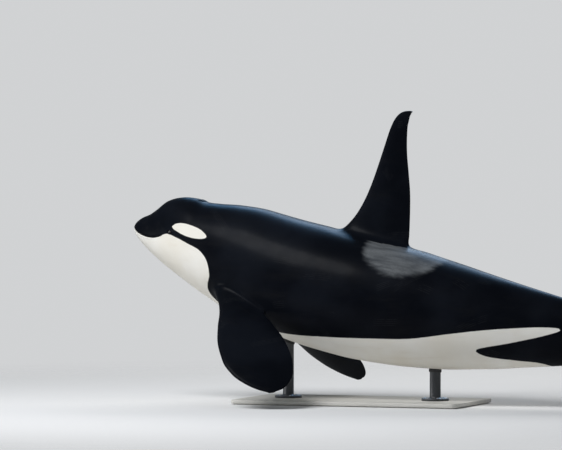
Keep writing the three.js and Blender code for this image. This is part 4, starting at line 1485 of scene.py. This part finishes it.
def rod_mesh(name, x):
    """A post with a round foot, up to the belly."""
    foot = BASE_SIZE[2]
    top = foot + COLLAR_HEIGHT
    profile = [(COLLAR_RADIUS, foot, False)]
    for t in QUARTER:
        radius = COLLAR_RADIUS - COLLAR_EDGE * (1 - math.cos(t))
        profile.append((radius, top - COLLAR_EDGE * (1 - math.sin(t)), False))
    for t in QUARTER:
        radius = ROD_RADIUS + COLLAR_FILLET * (1 - math.sin(t))
        profile.append((radius, top + COLLAR_FILLET * (1 - math.cos(t)), False))
    profile += [(ROD_RADIUS, -PAD_HEIGHT, True), (ROD_RADIUS, -PAD_SUNK, True)]
    return turned_mesh(name, x, profile)


def pad_mesh(name, x):
    """A soft ring at the top of a rod, cut to the belly."""
    outer, inner = ROD_RADIUS + PAD_PROUD, ROD_RADIUS - PAD_INSIDE
    profile = [(inner, -PAD_HEIGHT)]
    for t in np.linspace(-math.pi / 2, 0, PAD_MARKS):
        radius = outer - PAD_ROUND * (1 - math.cos(t))
        profile.append((radius, PAD_ROUND * (1 + math.sin(t)) - PAD_HEIGHT))
    inwards, drop = PAD_BEVEL
    profile += [(outer, -drop), (outer - inwards, PAD_SUNK), (inner, PAD_SUNK)]
    return turned_mesh(name, x, [(*mark, True) for mark in profile])


def screw_ring_tree():
    """Geometry nodes for a ring of screws with domed heads and hexagonal sockets."""
    group = bpy.data.node_groups.new("screw_ring", "GeometryNodeTree")
    group.interface.new_socket("Geometry", in_out="OUTPUT", socket_type="NodeSocketGeometry")
    for name, kind, value in SCREW_INPUTS:
        socket = group.interface.new_socket(name, in_out="INPUT", socket_type="NodeSocket" + kind)
        if value is not None:
            socket.default_value = value
    tree = Tree(group)
    given = {socket.name: Wire(tree, socket) for socket in group.nodes.new("NodeGroupInput").outputs}
    radius, height = given["Head Radius"], given["Head Height"]

    def make(kind, **values):
        spaced = {name.replace("_", " "): value for name, value in values.items()}
        return tree.add("GeometryNode" + kind, {}, spaced)

    def combine(**values):
        return tree.add("ShaderNodeCombineXYZ", {}, values)

    head = make("MeshCylinder", **SCREW_CUTS, Radius=radius, Depth=height)
    x, y, z = make("InputPosition").parts()
    away = tree.add("ShaderNodeVectorMath", {"operation": "LENGTH"}, {0: combine(X=x, Y=y)}, "Value")
    drop = (away / radius).power(DOME_POWER) * -DOME_DROP * height * z.above(TOP_SIDE)
    domed = make("SetPosition", Geometry=head, Offset=combine(Z=drop))
    deep = height * SOCKET_DEPTH
    hexagon = make("MeshCylinder", Vertices=6, Radius=given["Socket Radius"], Depth=deep)
    hexagon = make("Transform", Geometry=hexagon, Translation=combine(Z=height * 0.5))
    meshes = {"Mesh 1": domed, "Mesh 2": hexagon}
    screw = tree.add("GeometryNodeMeshBoolean", {"operation": "DIFFERENCE"}, meshes)
    circle = make("MeshCircle", Vertices=given["Screws"], Radius=given["Circle Radius"])
    ring = make("InstanceOnPoints", Points=circle, Instance=screw)
    moved = make("Transform", Geometry=ring, Translation=given["Middle"])
    real = make("RealizeInstances", Geometry=moved)
    made = make("SetMaterial", Geometry=real, Material=given["Finish"])
    group.links.new(made.socket, group.nodes.new("NodeGroupOutput").inputs[0])
    return group


def screws_mesh(tree, name, x, finish):
    """The screws round the foot of one rod, as a plain mesh."""
    holder = add_object(name, bpy.data.meshes.new(name + "_empty"))
    modifier = holder.modifiers.new("screws", "NODES")
    modifier.node_group = tree
    middle = (x, 0, BASE_SIZE[2] + COLLAR_HEIGHT + SCREW_HEIGHT / 2 - SCREW_SUNK)
    values = {"Middle": middle, "Finish": finish}
    for item in tree.interface.items_tree:
        if item.in_out == "INPUT" and item.name in values:
            modifier[item.identifier] = values[item.name]
    graph = bpy.context.evaluated_depsgraph_get()
    mesh = bpy.data.meshes.new_from_object(holder.evaluated_get(graph))
    bpy.data.objects.remove(holder)
    mesh.name = name
    return mesh


# Making the pieces

points, faces, marks, seam = skin_shape()
points = smooth_near(points, faces, seam)
skin = make_mesh("orca_skin", points, faces)
# Markings of the skin; dark is the shade painted into its grooves and hollows
for name, values in zip(("white", "grey", "dark", "along", "around"), marks.T):
    skin.attributes.new(name, "FLOAT", "POINT").data.foreach_set("value", np.ascontiguousarray(values))
FLESH = ["head", "lower_jaw", "throat", "eye_patch_left", "eye_patch_right", "torso", "belly"]
FLESH += ["saddle", "tail_stock", "dorsal_fin", "flipper_left", "flipper_right"]
FLESH += ["fluke_left", "fluke_right"]
add_piece("orca_skin", skin, skin_look(), "skin_black", *FLESH)

eye_finish = eye_look()
for side_name, hand in (("left", -1), ("right", 1)):
    add_piece(f"eye_ball_{side_name}", ball_mesh(hand), eye_finish, "eye", f"eye_{side_name}")

wood, metal, steel, rubber = painted_wood(), painted_metal(), bright_steel(), soft_rubber()
board = add_piece("stand_base_board", base_mesh(), wood, "stand_base", "stand_base")
screw_tree = screw_ring_tree()
for end, x in zip(("front", "rear"), ROD_X):
    post, pad, screws = (f"stand_{part}_{end}" for part in ("post", "pad", "screws"))
    add_piece(post, rod_mesh(post, x), metal, "stand_rod", f"stand_rod_{end}")
    add_piece(pad, pad_mesh(pad, x), rubber, "stand_rod")
    ring = screws_mesh(screw_tree, screws, x, steel)
    ring.materials.clear()
    add_piece(screws, ring, steel, "stand_rod")


# Floor, light and camera

FLOOR_RADIUS, FLOOR_FADE = 12.0, (3.36, 10.2)
FLOOR_COLOUR = (0.84, 0.84, 0.84, 1)
FLOOR_SIDES = 96
SURROUND = (0.635, 0.645, 0.655)
SURROUND_TINT, SURROUND_LIGHT = (0.8, 0.9, 1.0), 0.16


def floor_look():
    """Pale paint that fades into the surround away from the model."""
    look = Look("studio_floor")
    x, y, _ = look.where().parts()
    fade = 1 - (x * x + y * y).power(0.5).between(*FLOOR_FADE)
    return look.finish(Base_Color=FLOOR_COLOUR, Roughness=0.85, Alpha=fade, Specular_IOR_Level=0.2)


def make_floor():
    mesh = bpy.data.meshes.new("studio_floor")
    work = bmesh.new()
    bmesh.ops.create_circle(work, cap_ends=True, segments=FLOOR_SIDES, radius=FLOOR_RADIUS)
    bmesh.ops.translate(work, verts=work.verts, vec=(0, 0, -MM))
    work.to_mesh(mesh)
    work.free()
    mesh.materials.append(floor_look())
    made = add_object("studio_floor", mesh)
    return made


def add_softbox(name, at, towards, size, power, colour):
    """A soft oval lamp, which the camera doesn't see."""
    data = bpy.data.lights.new(name, "AREA")
    data.shape, data.size, data.size_y = "ELLIPSE", *size
    data.energy, data.color = power, colour
    made = add_object(name, data)
    aim = Vector(towards) - Vector(at)
    made.matrix_world = Matrix.Translation(at) @ aim.to_track_quat("-Z", "Y").to_matrix().to_4x4()
    made.visible_camera = False
    return made


def keep_light_off(light, *objects):
    """The light passes these objects by and still falls on all the others."""
    passed_by = bpy.data.collections.new(f"without_{light.name}")
    for obj in objects:
        passed_by.objects.link(obj)
    for member in passed_by.collection_objects:
        member.light_linking.link_state = "EXCLUDE"
    light.light_linking.receiver_collection = passed_by


def make_world():
    """A pale surround, which lights the model less than it shows."""
    world = bpy.data.worlds.new("studio_surround")
    bpy.context.scene.world = world
    world.use_nodes = True
    nodes, links = world.node_tree.nodes, world.node_tree.links
    shown = nodes["Background"]
    lighting = nodes.new("ShaderNodeBackground")
    seen, cast = (shown, SURROUND, 1.0), (lighting, SURROUND_TINT, SURROUND_LIGHT)
    for node, colour, strength in (seen, cast):
        node.inputs["Color"].default_value = (*colour, 1)
        node.inputs["Strength"].default_value = strength
    mixed = nodes.new("ShaderNodeMixShader")
    links.new(nodes.new("ShaderNodeLightPath").outputs["Is Camera Ray"], mixed.inputs[0])
    links.new(lighting.outputs[0], mixed.inputs[1])
    links.new(shown.outputs[0], mixed.inputs[2])
    links.new(mixed.outputs[0], nodes["World Output"].inputs[0])


# Softboxes: place, what each points at, size, power and colour
SOFTBOXES = {
    "key": ((-4.5, -8, 11), (-0.3, 0, 1.4), (8, 6), 1500, (0.975, 0.985, 1)),
    "front_fill": ((-16, -9, 2.5), (-0.5, 0, 1.2), (6, 4), 650, (0.975, 0.985, 1)),
    "wash": ((0.5, 10, 8), (0.4, 2, 0.5), (12, 5), 520, (1, 0.985, 0.97)),
    "sky": ((0.5, 6.5, 7), (0.4, 0, 1.6), (12, 4), 680, (0.17, 0.52, 1)),
}

# The photograph's frame, in pixels, and the camera
METRES_PER_PIXEL = 0.0111
CAMERA_DISTANCE = 60.0
CAMERA_TURN = math.radians(20)
FRAME_WIDTH, FRAME_HEIGHT = 562, 450
SNOUT_PIXEL = (135.5, 225.5)
HORIZON_ROW = 92
SENSOR = 36.0
CAMERA_REACH = (1, 500)


def make_camera():
    """A far camera that puts the snout on its place in the frame."""
    focal = CAMERA_DISTANCE / METRES_PER_PIXEL
    tilt = math.atan((FRAME_HEIGHT / 2 - HORIZON_ROW) / focal)
    turn_cos, turn_sin = math.cos(CAMERA_TURN), math.sin(CAMERA_TURN)
    back = Vector((turn_sin * math.cos(tilt), -turn_cos * math.cos(tilt), math.sin(tilt)))
    right = Vector((turn_cos, turn_sin, 0))
    up = back.cross(right)
    sideways = (SNOUT_PIXEL[0] - FRAME_WIDTH / 2) / focal * CAMERA_DISTANCE
    upwards = (FRAME_HEIGHT / 2 - SNOUT_PIXEL[1]) / focal * CAMERA_DISTANCE
    snout = Vector(place(0, MIDDLE_OF_NOSE * PER_CENT))
    at = snout + back * CAMERA_DISTANCE - right * sideways - up * upwards
    data = bpy.data.cameras.new("camera")
    data.sensor_width, data.lens = SENSOR, focal * SENSOR / FRAME_WIDTH
    data.clip_start, data.clip_end = CAMERA_REACH
    camera = add_object("camera", data)
    camera.matrix_world = Matrix.Translation(at) @ Matrix((right, up, back)).transposed().to_4x4()
    bpy.context.scene.camera = camera


floor = make_floor()
make_world()
make_camera()
softboxes = {name: add_softbox(name, *values) for name, values in SOFTBOXES.items()}
keep_light_off(softboxes["sky"], floor, board)
bpy.context.scene.view_settings.view_transform = "Standard"
